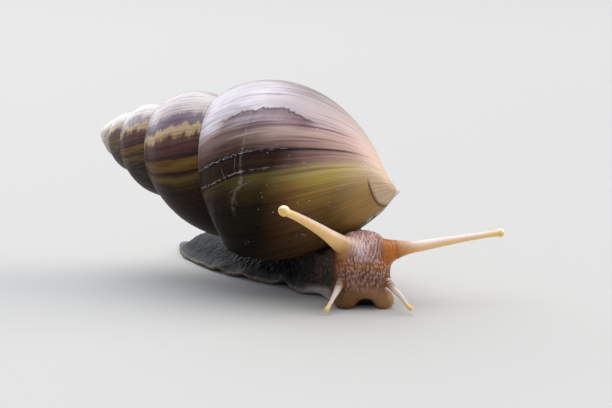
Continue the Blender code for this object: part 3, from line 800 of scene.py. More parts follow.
NECK_START = Vector((2.9, -19.5, 0))
NECK_BACK = (6.3, 12.2)  # half width and height where the neck leaves the foot
NECK_LOW = 0.27
NECK_SECTIONS, HEAD_SECTIONS = 20, 40
SECTION_POINTS = 48  # round the neck and the head
SQUARENESS = 0.85  # below 1 a section is a rounded box, not an oval
HEAD_TURN = math.radians(35.0)
MOUTH = Vector((-2.5, -34.0, 0.0))
HEAD_SHAPE = (  # distance behind the mouth, half width, lowest, highest
    (7.0, 5.8, 1.0, 14.2),
    (5.6, 5.8, 1.1, 14.4),
    (4.2, 5.7, 1.4, 14.3),
    (3.1, 5.5, 2.2, 13.7),
    (2.2, 5.4, 2.6, 12.9),
    (1.0, 5.15, 2.8, 11.4),
    (-0.1, 4.8, 3.1, 9.7),
    (-0.9, 4.0, 3.7, 8.2),
    (-1.3, 2.8, 4.6, 7.2),
)
FEELERS = {  # place ahead, left and above at the head, and radius there
    "upper right": (
        (-3.4, -1.4, 10.6, 2.8),
        (-1.5, -3.8, 12.1, 2.05),
        (0.7, -6.5, 14.3, 1.4),
        (2.8, -8.8, 16.2, 1.12),
        (5.9, -12.2, 18.7, 0.88),
        (8.2, -14.3, 20.1, 0.80),
        (9.0, -15.0, 20.6, 0.86),
    ),
    "upper left": (
        (-2.9, 3.2, 10.7, 2.8),
        (-3.3, 5.8, 10.9, 2.2),
        (-4.0, 8.9, 11.2, 1.45),
        (-5.0, 12.3, 11.5, 1.12),
        (-7.0, 18.5, 12.2, 0.86),
        (-9.2, 24.7, 12.75, 0.70),
        (-10.3, 27.9, 12.95, 0.72),
    ),
    "lower right": (
        (-0.9, -3.8, 6.0, 1.4),
        (0.7, -4.6, 4.8, 0.92),
        (3.4, -5.9, 2.9, 0.52),
        (5.2, -7.0, 1.35, 0.50),
        (5.6, -7.3, 1.0, 0.62),
    ),
    "lower left": (
        (-1.2, 4.1, 6.0, 1.4),
        (0.4, 5.0, 4.9, 0.92),
        (3.4, 7.3, 2.8, 0.52),
        (5.0, 8.3, 1.6, 0.50),
        (5.6, 8.75, 1.3, 0.62),
    ),
}
FEELER_POINTS = 24  # round a feeler
FEELER_STEPS = 10  # along each stretch of its route
FEELER_END = ((0, 1.0), (0.5, 0.85), (0.85, 0.5))  # how the tip closes, in radii
LOBES = (  # place ahead, left and above at the head, half sizes
    ((-0.8, -3.5, 1.5), (2.8, 2.5, 2.1)),
    ((-0.8, 4.1, 1.5), (2.7, 2.2, 2.1)),
    ((-1.0, 0.3, 3.15), (2.0, 4.4, 1.85)),
    ((-3.6, 0.4, 1.3), (2.1, 4.6, 1.9)),
)
COLLAR_REACH = (0.1, 1.5)  # across the whorl
COLLAR_SECTIONS, COLLAR_POINTS = 36, 40
COLLAR_ENDS = 0.3  # it thins out over this much of the reach at each end
COLLAR_INSET = 1.2  # from the lip and from the pillar
VOXEL = 0.28


def along(table, place):
    """The table's other columns at this value of its first, on smooth curves."""
    table = np.array(table)
    if table[0, 0] > table[-1, 0]:
        table = table[::-1]
    x, rows = table[:, 0], table[:, 1:]
    slopes = np.gradient(rows, x, axis=0)
    i = int(np.clip(np.searchsorted(x, place) - 1, 0, len(x) - 2))
    gap = x[i + 1] - x[i]
    t = (place - x[i]) / gap
    return hermite(rows[i], slopes[i] * gap, rows[i + 1], slopes[i + 1] * gap, t)


def head_point(ahead, left, up):
    """A place near the head: ahead of the mouth, to the animal's left, and above the floor."""
    facing = Vector((-math.sin(HEAD_TURN), -math.cos(HEAD_TURN), 0))
    leftward = Vector((math.cos(HEAD_TURN), -math.sin(HEAD_TURN), 0))
    return MOUTH + facing * ahead + leftward * left + Vector((0, 0, up))


shell_tree = BVHTree.FromObject(shell, bpy.context.evaluated_depsgraph_get())


def room_above(x, y):
    """Height of the shell over this place and just round it, less the clearance."""
    lowest = math.inf
    for dx, dy in ((0, 0), (0.9, 0), (-0.9, 0), (0, 0.9), (0, -0.9)):
        hit = shell_tree.ray_cast(Vector((x + dx, y + dy, -1)) * MM, Vector((0, 0, 1)))[0]
        if hit:
            lowest = min(lowest, hit.z / MM)
    return lowest - SHELL_GAP


def foot_ring(y):
    """Section across the foot: back, thin lifted margins, flat sole."""
    middle, half_width, back, stalk = along(FOOT_SHAPE, y)
    margin = min(MARGIN, back * 0.6)
    lifts = {
        side: sum(lift * math.exp(-(((y - at) / long) ** 2)) for at, long, lift in waves)
        for side, waves in WAVES.items()
    }
    full_width = min(half_width / 5, 1)  # less than 1 where the tail narrows

    def sole_at(share):
        """How far out this share of the half width is, and how high the sole is there."""
        lift = lifts[1 if share > 0 else -1]
        spread = share * (half_width + 0.45 * (0.6 - lift) * full_width)
        return spread, lift * eased(abs(share), WAVES_FROM, 1)

    ring = []
    for share in np.sin(np.linspace(math.pi / 2, -math.pi / 2, BACK_POINTS)):
        spread, low = sole_at(share)
        rise = (back - margin) * (1 - share**2) ** 1.2
        rise += stalk * math.exp(-((spread / STALK_HALF_WIDTH) ** 4))
        x = middle + spread
        ring.append((x, y, min(low + margin + rise, room_above(x, y))))
    for share in np.sin(np.linspace(-math.pi / 2, math.pi / 2, SOLE_POINTS)) * 0.985:
        spread, low = sole_at(share)
        ring.append((middle + spread, y, low))
    return ring


def oval_ring(centre, sideways, half_width, low, high):
    """Upright section across head or neck, a rounded box."""
    ring = []
    middle = (low + high) / 2

    def squared(x):
        return math.copysign(abs(x) ** SQUARENESS, x)

    for angle in np.linspace(0, 2 * math.pi, SECTION_POINTS, endpoint=False):
        up = squared(math.sin(angle)) * (high - low) / 2
        place = centre + sideways * squared(math.cos(angle)) * half_width
        height = middle + up
        if height > middle:
            height = max(min(height, room_above(place.x, place.y)), middle)
        ring.append((place.x, place.y, height))
    return ring


def tube_rings(route):
    """Round sections along a smooth route of places and radii, closing at its end."""
    table = [(i, *place) for i, place in enumerate(route)]
    legs = len(route) - 1
    places = [along(table, step) for step in np.linspace(0, legs, FEELER_STEPS * legs + 1)]
    turns = np.linspace(0, 2 * math.pi, FEELER_POINTS, endpoint=False)
    rings = []
    for i, (*centre, radius) in enumerate(places):
        before, after = places[max(i - 1, 0)], places[min(i + 1, len(places) - 1)]
        forward = (head_point(*after[:3]) - head_point(*before[:3])).normalized()
        side = forward.cross(Vector((0, 0, 1))).normalized()
        up = side.cross(forward)
        is_tip = i == len(places) - 1
        for shift, shrink in FEELER_END if is_tip else FEELER_END[:1]:
            middle = head_point(*centre) + forward * shift * radius
            spokes = [side * math.cos(turn) + up * math.sin(turn) for turn in turns]
            rings.append([middle + spoke * radius * shrink for spoke in spokes])
    return rings


def add_loft(bm, rings):
    """A closed body through rings of equal point count, capped at each end."""
    rows = [[bm.verts.new(point) for point in ring] for ring in rings]
    for one, two in zip(rows, rows[1:]):
        for i in range(len(one)):
            j = (i + 1) % len(one)
            bm.faces.new((one[i], one[j], two[j], two[i]))
    bm.faces.new(rows[0][::-1])
    bm.faces.new(rows[-1])


def neck_and_head_rings():
    """From inside the foot's front to the mouth, turning to the animal's right."""
    head_back, head_width, _, head_high = HEAD_SHAPE[0]
    neck_end = head_point(-head_back, 0, 0)
    rings = []
    for share in np.linspace(0, 1, NECK_SECTIONS, endpoint=False):
        turn = HEAD_TURN * share
        sideways = Vector((math.cos(turn), -math.sin(turn), 0))
        width = NECK_BACK[0] + (head_width - NECK_BACK[0]) * share
        high = NECK_BACK[1] + (head_high - NECK_BACK[1]) * share
        rings.append(oval_ring(NECK_START.lerp(neck_end, share), sideways, width, NECK_LOW, high))
    sideways = head_point(0, 1, 0) - head_point(0, 0, 0)
    for behind in np.linspace(head_back, HEAD_SHAPE[-1][0], HEAD_SECTIONS):
        shape = along(HEAD_SHAPE, behind)
        rings.append(oval_ring(head_point(-behind, 0, 0), sideways, *shape))
    return rings


def collar_rings():
    """The flesh that fills the shell's mouth: sections across it, level with the lip."""
    whorls = SHELL_SIZES["Whorls"]
    first, last = COLLAR_REACH

    def lip_point(across):
        return shell_point(whorls - lip_lag(across, SHELL_SIZES), across)

    rings = []
    for across in np.linspace(first, last, COLLAR_SECTIONS):
        lip, ahead = lip_point(across), lip_point(across + 0.05)
        inner = shell_point(whorls - 1 + max(across - 1, 0), 1 + min(across, 1))
        width = (inner - lip).length
        inwards = (inner - lip) / width
        out = inwards.cross(ahead - lip).normalized()
        if out.dot(LEVEL) < 0:
            out.negate()
        end = float(eased(across - first, 0, COLLAR_ENDS) * eased(last - across, 0, COLLAR_ENDS))
        ring = []
        for angle in np.linspace(0, 2 * math.pi, COLLAR_POINTS, endpoint=False):
            share = 0.5 - 0.5 * math.cos(angle)
            crown = math.sin(math.pi * share)
            bulk = 0.5 + (0.25 + 1.9 * crown) * (0.3 + 0.7 * end)
            if angle > math.pi:
                bulk = -0.2 - 1.6 * crown
            inset = COLLAR_INSET + (width - 2 * COLLAR_INSET) * share
            ring.append(lip + inwards * inset + out * bulk)
        rings.append(ring)
    return rings


def build_body():
    """The lofts grown together into one even mesh."""
    bm = bmesh.new()
    add_loft(bm, [foot_ring(y) for y in np.linspace(FOOT_TAIL, FOOT_FRONT, FOOT_SECTIONS)])
    add_loft(bm, neck_and_head_rings())
    add_loft(bm, collar_rings())
    for route in FEELERS.values():
        add_loft(bm, tube_rings(route))
    for centre, (long, wide, tall) in LOBES:
        place = Matrix.Translation(head_point(*centre)) @ Matrix.Rotation(-HEAD_TURN, 4, "Z")
        ball = place @ Matrix.Diagonal((wide, long, tall, 1.0))
        bmesh.ops.create_uvsphere(bm, u_segments=28, v_segments=18, radius=1.0, matrix=ball)
    bmesh.ops.recalc_face_normals(bm, faces=bm.faces)
    mesh = bpy.data.meshes.new("skin")
    bm.to_mesh(mesh)
    bm.free()
    body = new_object("snail_skin", mesh)
    remesh = body.modifiers.new("grow together", "REMESH")
    remesh.mode = "VOXEL"
    remesh.voxel_size = VOXEL
    graph = bpy.context.evaluated_depsgraph_get()
    whole = bpy.data.meshes.new_from_object(body.evaluated_get(graph))
    body.modifiers.clear()
    body.data = whole
    return body


def places_of(mesh):
    """The mesh's vertices as an array."""
    places = np.empty(len(mesh.vertices) * 3)
    mesh.vertices.foreach_get("co", places)
    return places.reshape(-1, 3)


def move_to(mesh, places):
    """Sets the mesh's vertices to these places."""
    mesh.vertices.foreach_set("co", places.ravel())
    mesh.update()


def smoothed(mesh, places, weight, rounds):
    """Each vertex drawn to the middle of its neighbours, by its own weight, this many times."""
    ends = np.empty(len(mesh.edges) * 2, dtype=np.int64)
    mesh.edges.foreach_get("vertices", ends)
    one, two = ends[::2], ends[1::2]
    count = len(places)
    degree = np.bincount(one, minlength=count) + np.bincount(two, minlength=count)
    for _ in range(rounds):
        total = np.stack(
            [
                np.bincount(one, places[two, k], count) + np.bincount(two, places[one, k], count)
                for k in range(3)
            ],
            axis=1,
        )
        places = places + (total / degree[:, None] - places) * weight[:, None]
    return places


def head_places(places):
    """Ahead of the mouth, to the animal's left and up, for each vertex."""
    facing = head_point(1, 0, 0) - MOUTH
    leftward = head_point(0, 1, 0) - MOUTH
    apart = places - np.array(MOUTH)
    return np.stack([apart @ np.array(facing), apart @ np.array(leftward), apart[:, 2]], axis=1)


def feeler_reach(head):
    """For each vertex the nearest feeler's share of the way to its tip, or 0 off the feelers."""
    reach = np.zeros(len(head))
    for route in map(np.array, FEELERS.values()):
        legs = route[1:, :3] - route[:-1, :3]
        lengths = np.linalg.norm(legs, axis=1)
        done = np.concatenate([[0], np.cumsum(lengths)])
        best = np.full(len(head), np.inf)
        share = np.zeros(len(head))
        for i, leg in enumerate(legs):
            t = np.clip((head - route[i, :3]) @ leg / lengths[i] ** 2, 0, 1)
            gap = np.linalg.norm(head - route[i, :3] - t[:, None] * leg, axis=1)
            gap = gap / (route[i, 3] + (route[i + 1, 3] - route[i, 3]) * t)
            near = gap < best
            best[near] = gap[near]
            share[near] = ((done[i] + lengths[i] * t) / done[-1])[near]
        reach = np.maximum(reach, share * (best < 1.35))
    return reach


def blend_weights(places):
    """How far each vertex gives way when the lofts are blended: not at thin edges and tips."""
    thin = eased(feeler_reach(head_places(places)), 0.12, 0.37)
    return 0.5 * (1 - 0.9 * thin) * (1 - margin_share(places))


def margin_share(places, start=0.7, end=0.9):
    """1 on the foot's thin margin and 0 inwards of it."""
    steps = np.linspace(FOOT_FRONT, FOOT_TAIL, 130)
    rows = np.array([(y, *along(FOOT_SHAPE, y)[:2]) for y in steps])
    middle = np.interp(places[:, 1], rows[:, 0], rows[:, 1])
    half = np.interp(places[:, 1], rows[:, 0], rows[:, 2])
    share = np.abs(places[:, 0] - middle) / np.maximum(half, 1)
    low = 1 - eased(places[:, 2], 1.4, 3.0)
    on_foot = eased(places[:, 1], FOOT_FRONT - 0.5, FOOT_FRONT + 1.0)
    tip = eased(places[:, 1], 40.0, 42.5)
    return np.maximum(eased(share, start, end), tip) * low * on_foot


def refine_head(mesh):
    """Halves the mesh of the snout's front and brow, and makes the sole a few flat faces."""
    bm = bmesh.new()
    bm.from_mesh(mesh)
    places = head_places(np.array([face.calc_center_median() for face in bm.faces]))
    ahead, left, up = places.T
    front = (ahead > -6.0) & (ahead < 2.6) & (np.abs(left) < 6.9) & (up > 0.4)
    bm.faces.ensure_lookup_table()
    chosen = {edge for i in np.nonzero(front)[0] for edge in bm.faces[i].edges}
    bmesh.ops.subdivide_edges(bm, edges=list(chosen), cuts=1, use_grid_fill=True)
    level = [face for face in bm.faces if face.normal.z < -0.9995]
    flat = [face for face in level if face.calc_center_median().z < 0.01]
    edges = {edge for face in flat for edge in face.edges}
    vertices = {vertex for face in flat for vertex in face.verts}
    bmesh.ops.dissolve_limit(bm, angle_limit=0.02, verts=list(vertices), edges=list(edges))
    bmesh.ops.triangulate(bm, faces=[face for face in bm.faces if len(face.verts) > 4])
    bm.to_mesh(mesh)
    bm.free()


def add_marks(mesh, marks):
    """Keeps these arrays on the mesh as attributes, for its nodes to read."""
    for name, values in marks.items():
        kind, key = ("FLOAT", "value") if values.ndim == 1 else ("FLOAT_VECTOR", "vector")
        mark = mesh.attributes.new(name, kind, "POINT")
        mark.data.foreach_set(key, values.astype(np.float32).ravel())


def skin_marks(mesh, places):
    """Where each vertex lies on the animal, for the wrinkles and for the colours."""
    head = head_places(places)
    ahead, left, up = head.T
    normals = np.empty(len(places) * 3)
    mesh.vertices.foreach_get("normal", normals)
    feeler = feeler_reach(head)
    on_head = eased(ahead, -8.5, -4.0)
    under_feelers = eased(feeler, 0.05, 0.25)
    brow = on_head * eased(up, 8.4, 9.6) * (1 - under_feelers)
    brow *= 1 - 0.85 * eased(np.abs(left), 2.6, 4.4)
    face = eased(ahead, -4.6, -2.4) * eased(up, 2.4, 5.4) * (1 - eased(up, 9.0, 10.2))
    face *= 1 - under_feelers
    return {
        "head": head,
        "feeler": feeler,
        "brow": brow,
        "face": face,
        "foot": 1 - on_head,
        "margin": margin_share(places),
        "frill": margin_share(places, 0.93, 1.0),
        "upper": np.clip(normals.reshape(-1, 3)[:, 2], -1, 1),
    }


def hide_pattern(root, head):
    """Tubercles of the snout's front, net of folds on the brow, pebbles and slow unevenness."""
    ahead, left, up = head.split()

    def wander(scale, shift):
        return root.noise(root.vector(ahead + shift, left, up), 1.0, 0.5, scale) - 0.5

    def fold(place):
        return (place.calc("PINGPONG", place, 0.5) * 2.0).ramp(0.3, 1.0)

    over = up - ahead
    left_ragged, over_ragged = left + wander(0.6, 3.0) * 0.5, over + wander(0.7, 9.0) * 0.7
    place = root.vector(left_ragged / 0.58, over_ragged / 1.2)
    apart = root.cells(place, flat=True, randomness=0.75)
    ridge = fold((left + over * 0.06 + wander(0.6, 5.0) * 1.1) / 0.6)
    ridge = ridge * wander(1.1, 33.0).ramp(-0.2, 0.12)
    tubercles = larger(apart.fade(0.0, 0.6) * 0.9, ridge * 0.7)
    one = fold((left + over * 0.2 + wander(0.5, 0.0) * 1.9) / 0.66)
    two = fold((left - over * 0.16 + wander(0.45, 20.0) * 2.1) / 0.78)
    net = larger(one * 0.85, two) * (0.25 + 0.75 * wander(0.8, 40.0).ramp(-0.22, 0.2))
    pebbles = root.cells(head, randomness=0.9, scale=1.05).fade(0.1, 0.62)
    return tubercles, net, pebbles, wander


def build_wrinkle_tree():
    """Raises the hide's pattern by heights in millimetres, each where its mark lies."""
    heights = [(title, "Float") for title in WRINKLES]
    inputs = [("Geometry", "Geometry"), ("Material", "Material"), *heights]
    tree, given = new_tree("wrinkled skin", inputs, [("Geometry", "Geometry")])
    root = Wire(tree)

    def mark(name, kind="FLOAT"):
        return root.add("GeometryNodeInputNamedAttribute", {"data_type": kind}, {"Name": name})

    face, brow, foot = mark("face"), mark("brow"), mark("foot")
    rim, feeler = mark("margin"), mark("feeler")
    tubercles, net, pebbles, wander = hide_pattern(root, mark("head", "FLOAT_VECTOR"))
    body = foot * (1 - rim) * feeler.fade(0.02, 0.15)
    height = face * tubercles * given["Face height"] + brow * net * given["Brow height"]
    height = height + body * pebbles * given["Pebble height"]
    height = height + wander(0.3, 60.0) * given["Unevenness"] * feeler.fade(0.02, 0.3)
    height = height + wander(1.1, 80.0) * foot * (1 - rim) * given["Grooves"]
    close_tree(tree, {"Geometry": raised(root, given["Geometry"], height, given["Material"])})
    return tree


def paint_skin():
    """Amber snout with pale wrinkles, cream feelers, blue-black foot with a pale margin; painted
    highlight and shade on the head.
    """
    material, root, shader = new_material("wet snail skin", 0.36)
    shader.inputs["Specular IOR Level"].default_value = 0.05
    shader.inputs["Subsurface Weight"].default_value = 0.15
    shader.inputs["Subsurface Scale"].default_value = 0.001
    shader.inputs["Subsurface Radius"].default_value = (1.0, 0.45, 0.2)
    shader.inputs["Coat Roughness"].default_value = 0.2

    def mark(name, output="Fac"):
        return root.add("ShaderNodeAttribute", {"attribute_name": name}, None, output)

    head = mark("head", "Vector")
    ahead, left, up = head.split()
    face, brow, feeler = mark("face"), mark("brow"), mark("feeler")
    frill, upper = mark("frill"), mark("upper")
    tubercles, net, pebbles, _ = hide_pattern(root, head)
    patches = root.noise(head, 3.0, 0.6, 0.55)
    grain = root.noise(head, 3.0, 0.6, 2.6)
    # foot: blue-black with grey pebbles, greyer towards the tail, cream-brown at the margin
    speckle = (pebbles * 0.5 + grain * 0.75).ramp(0.6, 1.1)
    behind = 0 - ahead
    grey = mix(speckle, (0.0012, 0.0015, 0.002), (0.009, 0.0105, 0.0135))
    tail_grey = mix(speckle, (0.003, 0.004, 0.008), (0.036, 0.042, 0.056))
    grey = mix(behind.ramp(42.0, 62.0), grey, tail_grey)
    grey = mix(behind.ramp(54.0, 66.0) * 0.6, grey, (0.23, 0.28, 0.35))
    edge = mix(grain.ramp(0.3, 0.7), (0.05, 0.036, 0.028), (0.24, 0.20, 0.165))
    hem = larger(frill * (0.75 + grain * 0.5) - 0.1, 0.0)
    forward = behind.fade(8.0, 13.0)
    edge = mix(forward * 0.8, edge, (0.52, 0.48, 0.44))
    by_margin = mark("margin") * (0.25 + grain * 0.6) * (0.3 + 1.1 * forward)
    grey = mix(by_margin, grey, mix(forward, (0.20, 0.20, 0.21), (0.86, 0.84, 0.82)))
    foot = mix(hem.ramp(0.25, 0.85), grey, edge)
    # neck: brown, fading into the foot; above it the mantle's edge, hazel
    ruddy = (pebbles * 0.5 + patches * 0.8).ramp(0.4, 1.1)
    neck = mix(ruddy, (0.06, 0.04, 0.028), (0.15, 0.095, 0.062))
    on_neck = (ahead + patches * 5.0).ramp(-15.0, -3.0) * (up + patches * 2.0).ramp(1.0, 5.0)
    skin = mix(on_neck, foot, neck)
    mantle = (up + patches * 5.0 + pebbles).ramp(11.5, 20.0) * behind.ramp(4.0, 10.0)
    hazel = mix(grain.ramp(0.35, 0.65), (0.07, 0.05, 0.026), (0.24, 0.175, 0.095))
    skin = mix(mantle * 0.85, skin, hazel)
    # snout: amber beside the feelers, rosy on brow and face, tan at the lips, pale on each fold
    aside = left.calc("ABSOLUTE")
    amber = mix(patches.ramp(0.3, 0.7), (0.38, 0.11, 0.004), (0.56, 0.20, 0.014))
    # painted shade: the amber darker on the animal's right side, away from the light
    amber = multiplied(left.fade(-6.0, -3.0), amber, (0.27, 0.17, 0.06))
    lips = ahead.ramp(-3.8, -2.8)
    on_head = (ahead + patches * 1.5).ramp(-6.3, -3.0) * larger(up.ramp(0.5, 2.5), lips)
    skin = mix(on_head, skin, amber)
    front = mix(patches.ramp(0.3, 0.7), (0.13, 0.045, 0.015), (0.21, 0.085, 0.035))
    skin = mix(on_head * (up + patches * 1.5).fade(7.6, 9.2) * 0.9, skin, front)
    rosy = mix((up * 0.35 + patches).ramp(3.6, 4.8), (0.20, 0.085, 0.045), (0.32, 0.155, 0.12))
    skin = mix(larger(face * 0.55, brow * 0.8) * (1 - 0.8 * aside.ramp(3.4, 4.8)), skin, rosy)
    tan = mix(grain.ramp(0.2, 0.8), (0.30, 0.15, 0.065), (0.42, 0.24, 0.12))
    # painted shade: the tan darker towards the animal's right side, away from the light
    tan = multiplied(left.fade(-3.5, 3.0), tan, (0.5, 0.44, 0.36))
    skin = mix(on_head * (up + patches * 1.5).fade(3.6, 6.2), skin, tan)
    skin = mix(brow * up.ramp(9.5, 12.0) * 0.6, skin, (0.54, 0.29, 0.23))
    sheen = (up + left * 0.5 + (patches - 0.5) * 3.0).line(11.2, 2.3) * left.line(-0.9, 3.0)
    skin = mix(sheen * brow * (0.35 + grain * 0.6), skin, (0.84, 0.68, 0.68))
    # pale on the folds and tubercles: partly their own paler crests, partly painted wet highlight
    pale = larger(face * tubercles.ramp(0.1, 1.2) * 0.5, brow * net.ramp(0.0, 1.0) * 0.6)
    pale = pale * (1 - 0.75 * aside.ramp(3.4, 4.8))
    # painted shade: the grooves between tubercles and folds darkened
    groove_shade = tubercles.fade(0.0, 0.3) * face + net.fade(0.0, 0.3) * brow
    low_face = on_head * up.within(2.0, 3.2, 4.2, 7.0)
    skin = mix(low_face * patches.ramp(0.3, 0.7) * 0.35, skin, (0.42, 0.20, 0.12))
    skin = multiplied(groove_shade * 0.5, skin, (0.62, 0.48, 0.44))
    skin = mix(pale * (0.55 + grain * 0.6), skin, (0.88, 0.70, 0.70))
    # painted shade: near-black in the slit between the lips, over dark flesh
    mouth = left.line(0.45, 2.6) * up.fade(1.9, 2.9) * ahead.within(-6.0, -5.0, -0.4, 0.6)
    skin = mix(mouth.ramp(0.1, 0.5) * 0.92, skin, (0.012, 0.004, 0.002))
    # feelers: translucent cream with a painted pink-white highlight above, brighter on the animal's
    # left; the lower pair paler with yellow ends
    lit_topside = mix(left.ramp(-2.0, 2.0), (0.70, 0.55, 0.44), (0.92, 0.78, 0.70))
    cream = mix(upper.ramp(-0.3, 0.7), (0.96, 0.62, 0.25), lit_topside)
    cream = mix(feeler.ramp(0.8, 0.97) * 0.7, cream, (0.95, 0.68, 0.24))
    low = mix(feeler.ramp(0.75, 0.95), (0.78, 0.67, 0.57), (0.90, 0.66, 0.24))
    cream = mix(up.fade(7.5, 8.5), cream, low)
    late = up.fade(6.5, 8.0) * 0.14
    skin = mix((feeler - late).ramp(0.08, 0.36), skin, cream)
    ticks = root.noise(root.vector(feeler * 52, left * 0.3, 0.0), 2.0) - 0.5
    ringed = feeler.within(0.03, 0.15, 0.4, 0.65)
    # the pale rings show only on the upper side: painted highlight on them
    skin = mix(ticks.ramp(0.02, 0.14) * ringed * upper.ramp(0.1, 0.7) * 0.6, skin, (0.92, 0.78, 0.72))
    connect(skin, shader, "Base Color")
    connect(0.3 + grain * 0.2 + (1 - on_head) * 0.12, shader, "Roughness")
    wet = 0.04 + on_head * (0.1 + 0.3 * face + 0.7 * brow) + feeler.ramp(0.1, 0.3) * 0.3
    connect((0.5 + grain) * wet, shader, "Coat Weight")
    fine = root.noise(head, 2.0, 0.6, 6.0)
    height = grain * 0.5 + ticks * ringed * 0.9 + fine * 0.35 + pebbles * (1 - on_head) * 0.4
    add_bump(height, shader, 0.5, FINEST_RELIEF)
    return material


BLEND_ROUNDS = 34  # of smoothing, where the lofts meet
WRINKLES = {
    "Face height": 0.16,
    "Brow height": 0.15,
    "Pebble height": 0.1,
    "Grooves": 0.11,
    "Unevenness": 0.35,
}

skin = build_body()
places = places_of(skin.data)
places = smoothed(skin.data, places, blend_weights(places), BLEND_ROUNDS)
places[:, 2] = np.where(places[:, 2] < 0.07, 0, places[:, 2])
move_to(skin.data, places)
refine_head(skin.data)
places = places_of(skin.data)
places = smoothed(skin.data, places, np.where(places[:, 2] > 0.05, 0.3, 0), 2)
move_to(skin.data, places)
add_marks(skin.data, skin_marks(skin.data, places))
skin_material = paint_skin()
skin.data = run_tree(build_wrinkle_tree(), skin, {**WRINKLES, "Material": skin_material})
places = places_of(skin.data)
places[:, 2] = np.maximum(places[:, 2], 0)
move_to(skin.data, places * MM)
skin.data.shade_smooth()
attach(skin, "root")
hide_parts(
    "mantle_collar", "foot_tail", "foot_middle", "foot_front", "neck", "head",
    "lip_lobe_right", "lip_lobe_left", "upper_feeler_right", "upper_feeler_left",
    "lower_feeler_right", "lower_feeler_left",
)

# ---- Eyes -------------------------------------------------------------------------------
# The rounded ends of the upper feelers, which hold the eyes: small, smooth and a little longer
# than wide, clear amber over a dark spot. Each is its own ball set on the end of its feeler.

EYES = {  # feeler, place ahead, left and above at the head, radius
    "eye_right": ("upper right", (9.2, -15.2, 20.7), 1.08),
    "eye_left": ("upper left", (-10.4, 28.2, 13.0), 0.9),
}
EYE_SHAPE = Vector((1.12, 1.0, 0.97))  # along the feeler, across it, and up


def paint_eye():
    """Cloudy amber with a painted highlight, paler above, and a hint of the dark spot at the very
    end.
    """
    material, root, shader = new_material("eye bulb", 0.22)
    shader.inputs["Subsurface Weight"].default_value = 0.25
    shader.inputs["Subsurface Scale"].default_value = 0.001
    shader.inputs["Subsurface Radius"].default_value = (1.0, 0.55, 0.25)
    place = root.add("ShaderNodeAttribute", {"attribute_name": "ball"}, None, "Vector")
    along_feeler, _, high = place.split()
    clouds = root.noise(place, 2.0, 0.5, 2.0)
    # painted highlight: paler towards the top of the ball
    colour = mix((high + clouds * 0.6).ramp(-0.4, 1.0), (0.95, 0.60, 0.15), (0.98, 0.86, 0.55))
    colour = mix(along_feeler.ramp(0.85, 0.99) * 0.3, colour, (0.3, 0.18, 0.08))
    connect(colour, shader, "Base Color")
    connect(0.18 + clouds * 0.12, shader, "Roughness")
    add_bump(root.noise(place, 2.0, 0.5, 6.0), shader, 0.3, 0.05 * MM)
    return material


eye_material = paint_eye()
for name, (feeler, centre, radius) in EYES.items():
    forward = head_point(*centre) - head_point(*FEELERS[feeler][-3][:3])
    bm = bmesh.new()
    bmesh.ops.create_uvsphere(bm, u_segments=40, v_segments=26, radius=1.0)
    mesh = bpy.data.meshes.new(name + "_bulb")
    bm.to_mesh(mesh)
    bm.free()
    turned = forward.to_track_quat("X", "Z").to_matrix().to_4x4()
    add_marks(mesh, {"ball": places_of(mesh)})
    stretch = Matrix.Diagonal((*EYE_SHAPE * radius, 1.0))
    mesh.transform(Matrix.Scale(MM, 4) @ Matrix.Translation(head_point(*centre)) @ turned @ stretch)
    mesh.shade_smooth()
    mesh.materials.append(eye_material)
    eye = new_object(name + "_bulb", mesh)
    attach(eye, "root")
    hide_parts(name)

# ---- Floor, light and camera ------------------------------------------------------------
# A plain pale floor, flat round the animal and rising a little far off so that it fills the
# picture; broad soft lights from behind, overhead and the camera's right.

FLOOR_RADII = (5.0, 10.0, 15.0, 20.0, 25.0, 30.0)  # in metres, as its rise is
FLOOR_RISE = 2.0  # at the farthest rim

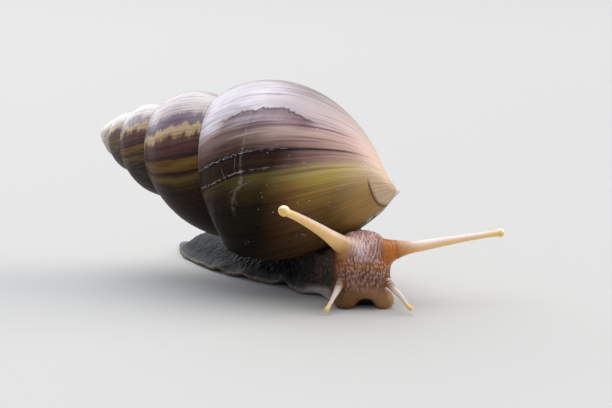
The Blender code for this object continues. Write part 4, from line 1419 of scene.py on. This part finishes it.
bm = bmesh.new()
bmesh.ops.create_circle(bm, cap_ends=True, segments=64, radius=FLOOR_RADII[0])
for radius in FLOOR_RADII[1:]:
    rim = [edge for edge in bm.edges if len(edge.link_faces) == 1]
    grown = bmesh.ops.extrude_edge_only(bm, edges=rim)["geom"]
    for vertex in grown:
        if isinstance(vertex, bmesh.types.BMVert):
            vertex.co *= radius / math.hypot(vertex.co.x, vertex.co.y)
for vertex in bm.verts:
    out = max(math.hypot(vertex.co.x, vertex.co.y) - FLOOR_RADII[0], 0)
    vertex.co.z = FLOOR_RISE * (out / (FLOOR_RADII[-1] - FLOOR_RADII[0])) ** 2
floor_mesh = bpy.data.meshes.new("floor")
bm.to_mesh(floor_mesh)
bm.free()
floor_mesh.shade_smooth()
floor = new_object("floor", floor_mesh)
floor_material, floor_root, floor_shader = new_material("pale floor", 0.9)
floor_shader.inputs["Base Color"].default_value = (0.50, 0.495, 0.48, 1.0)
floor.data.materials.append(floor_material)

bpy.context.scene.view_settings.view_transform = "Standard"
world = bpy.data.worlds.new("studio")
world.use_nodes = True
sky = world.node_tree.nodes["Background"]
sky.inputs["Color"].default_value = (0.86, 0.9, 1.0, 1.0)
sky.inputs["Strength"].default_value = 0.42
bpy.context.scene.world = world


def add_light(name, strength, spread, azimuth, height, colour):
    """A broad far light: where it comes from is an angle round from +Y and one above level."""
    light = bpy.data.lights.new(name, "SUN")
    light.energy = strength
    light.angle = math.radians(spread)
    light.color = colour
    obj = bpy.data.objects.new(name, light)
    obj.rotation_euler = (math.radians(height - 90), 0, math.radians(-azimuth))
    obj.location = (0, 0, 0.4)
    bpy.context.scene.collection.objects.link(obj)


add_light("behind", 2.0, 62, 2, 38, (0.94, 0.96, 1.0))
add_light("overhead", 1.5, 56, 20, 78, (0.97, 0.98, 1.0))
add_light("right", 1.9, 44, 112, 32, (1.0, 0.95, 0.87))

camera_data = bpy.data.cameras.new("camera")
camera_data.sensor_width = 36.0
camera_data.lens = 67.18
camera_data.clip_start = 0.01
camera = bpy.data.objects.new("camera", camera_data)
camera.location = (-0.13635, -0.20569, 0.055)
camera.rotation_euler = (math.radians(81), 0, math.radians(-35))
bpy.context.scene.collection.objects.link(camera)
bpy.context.scene.camera = camera
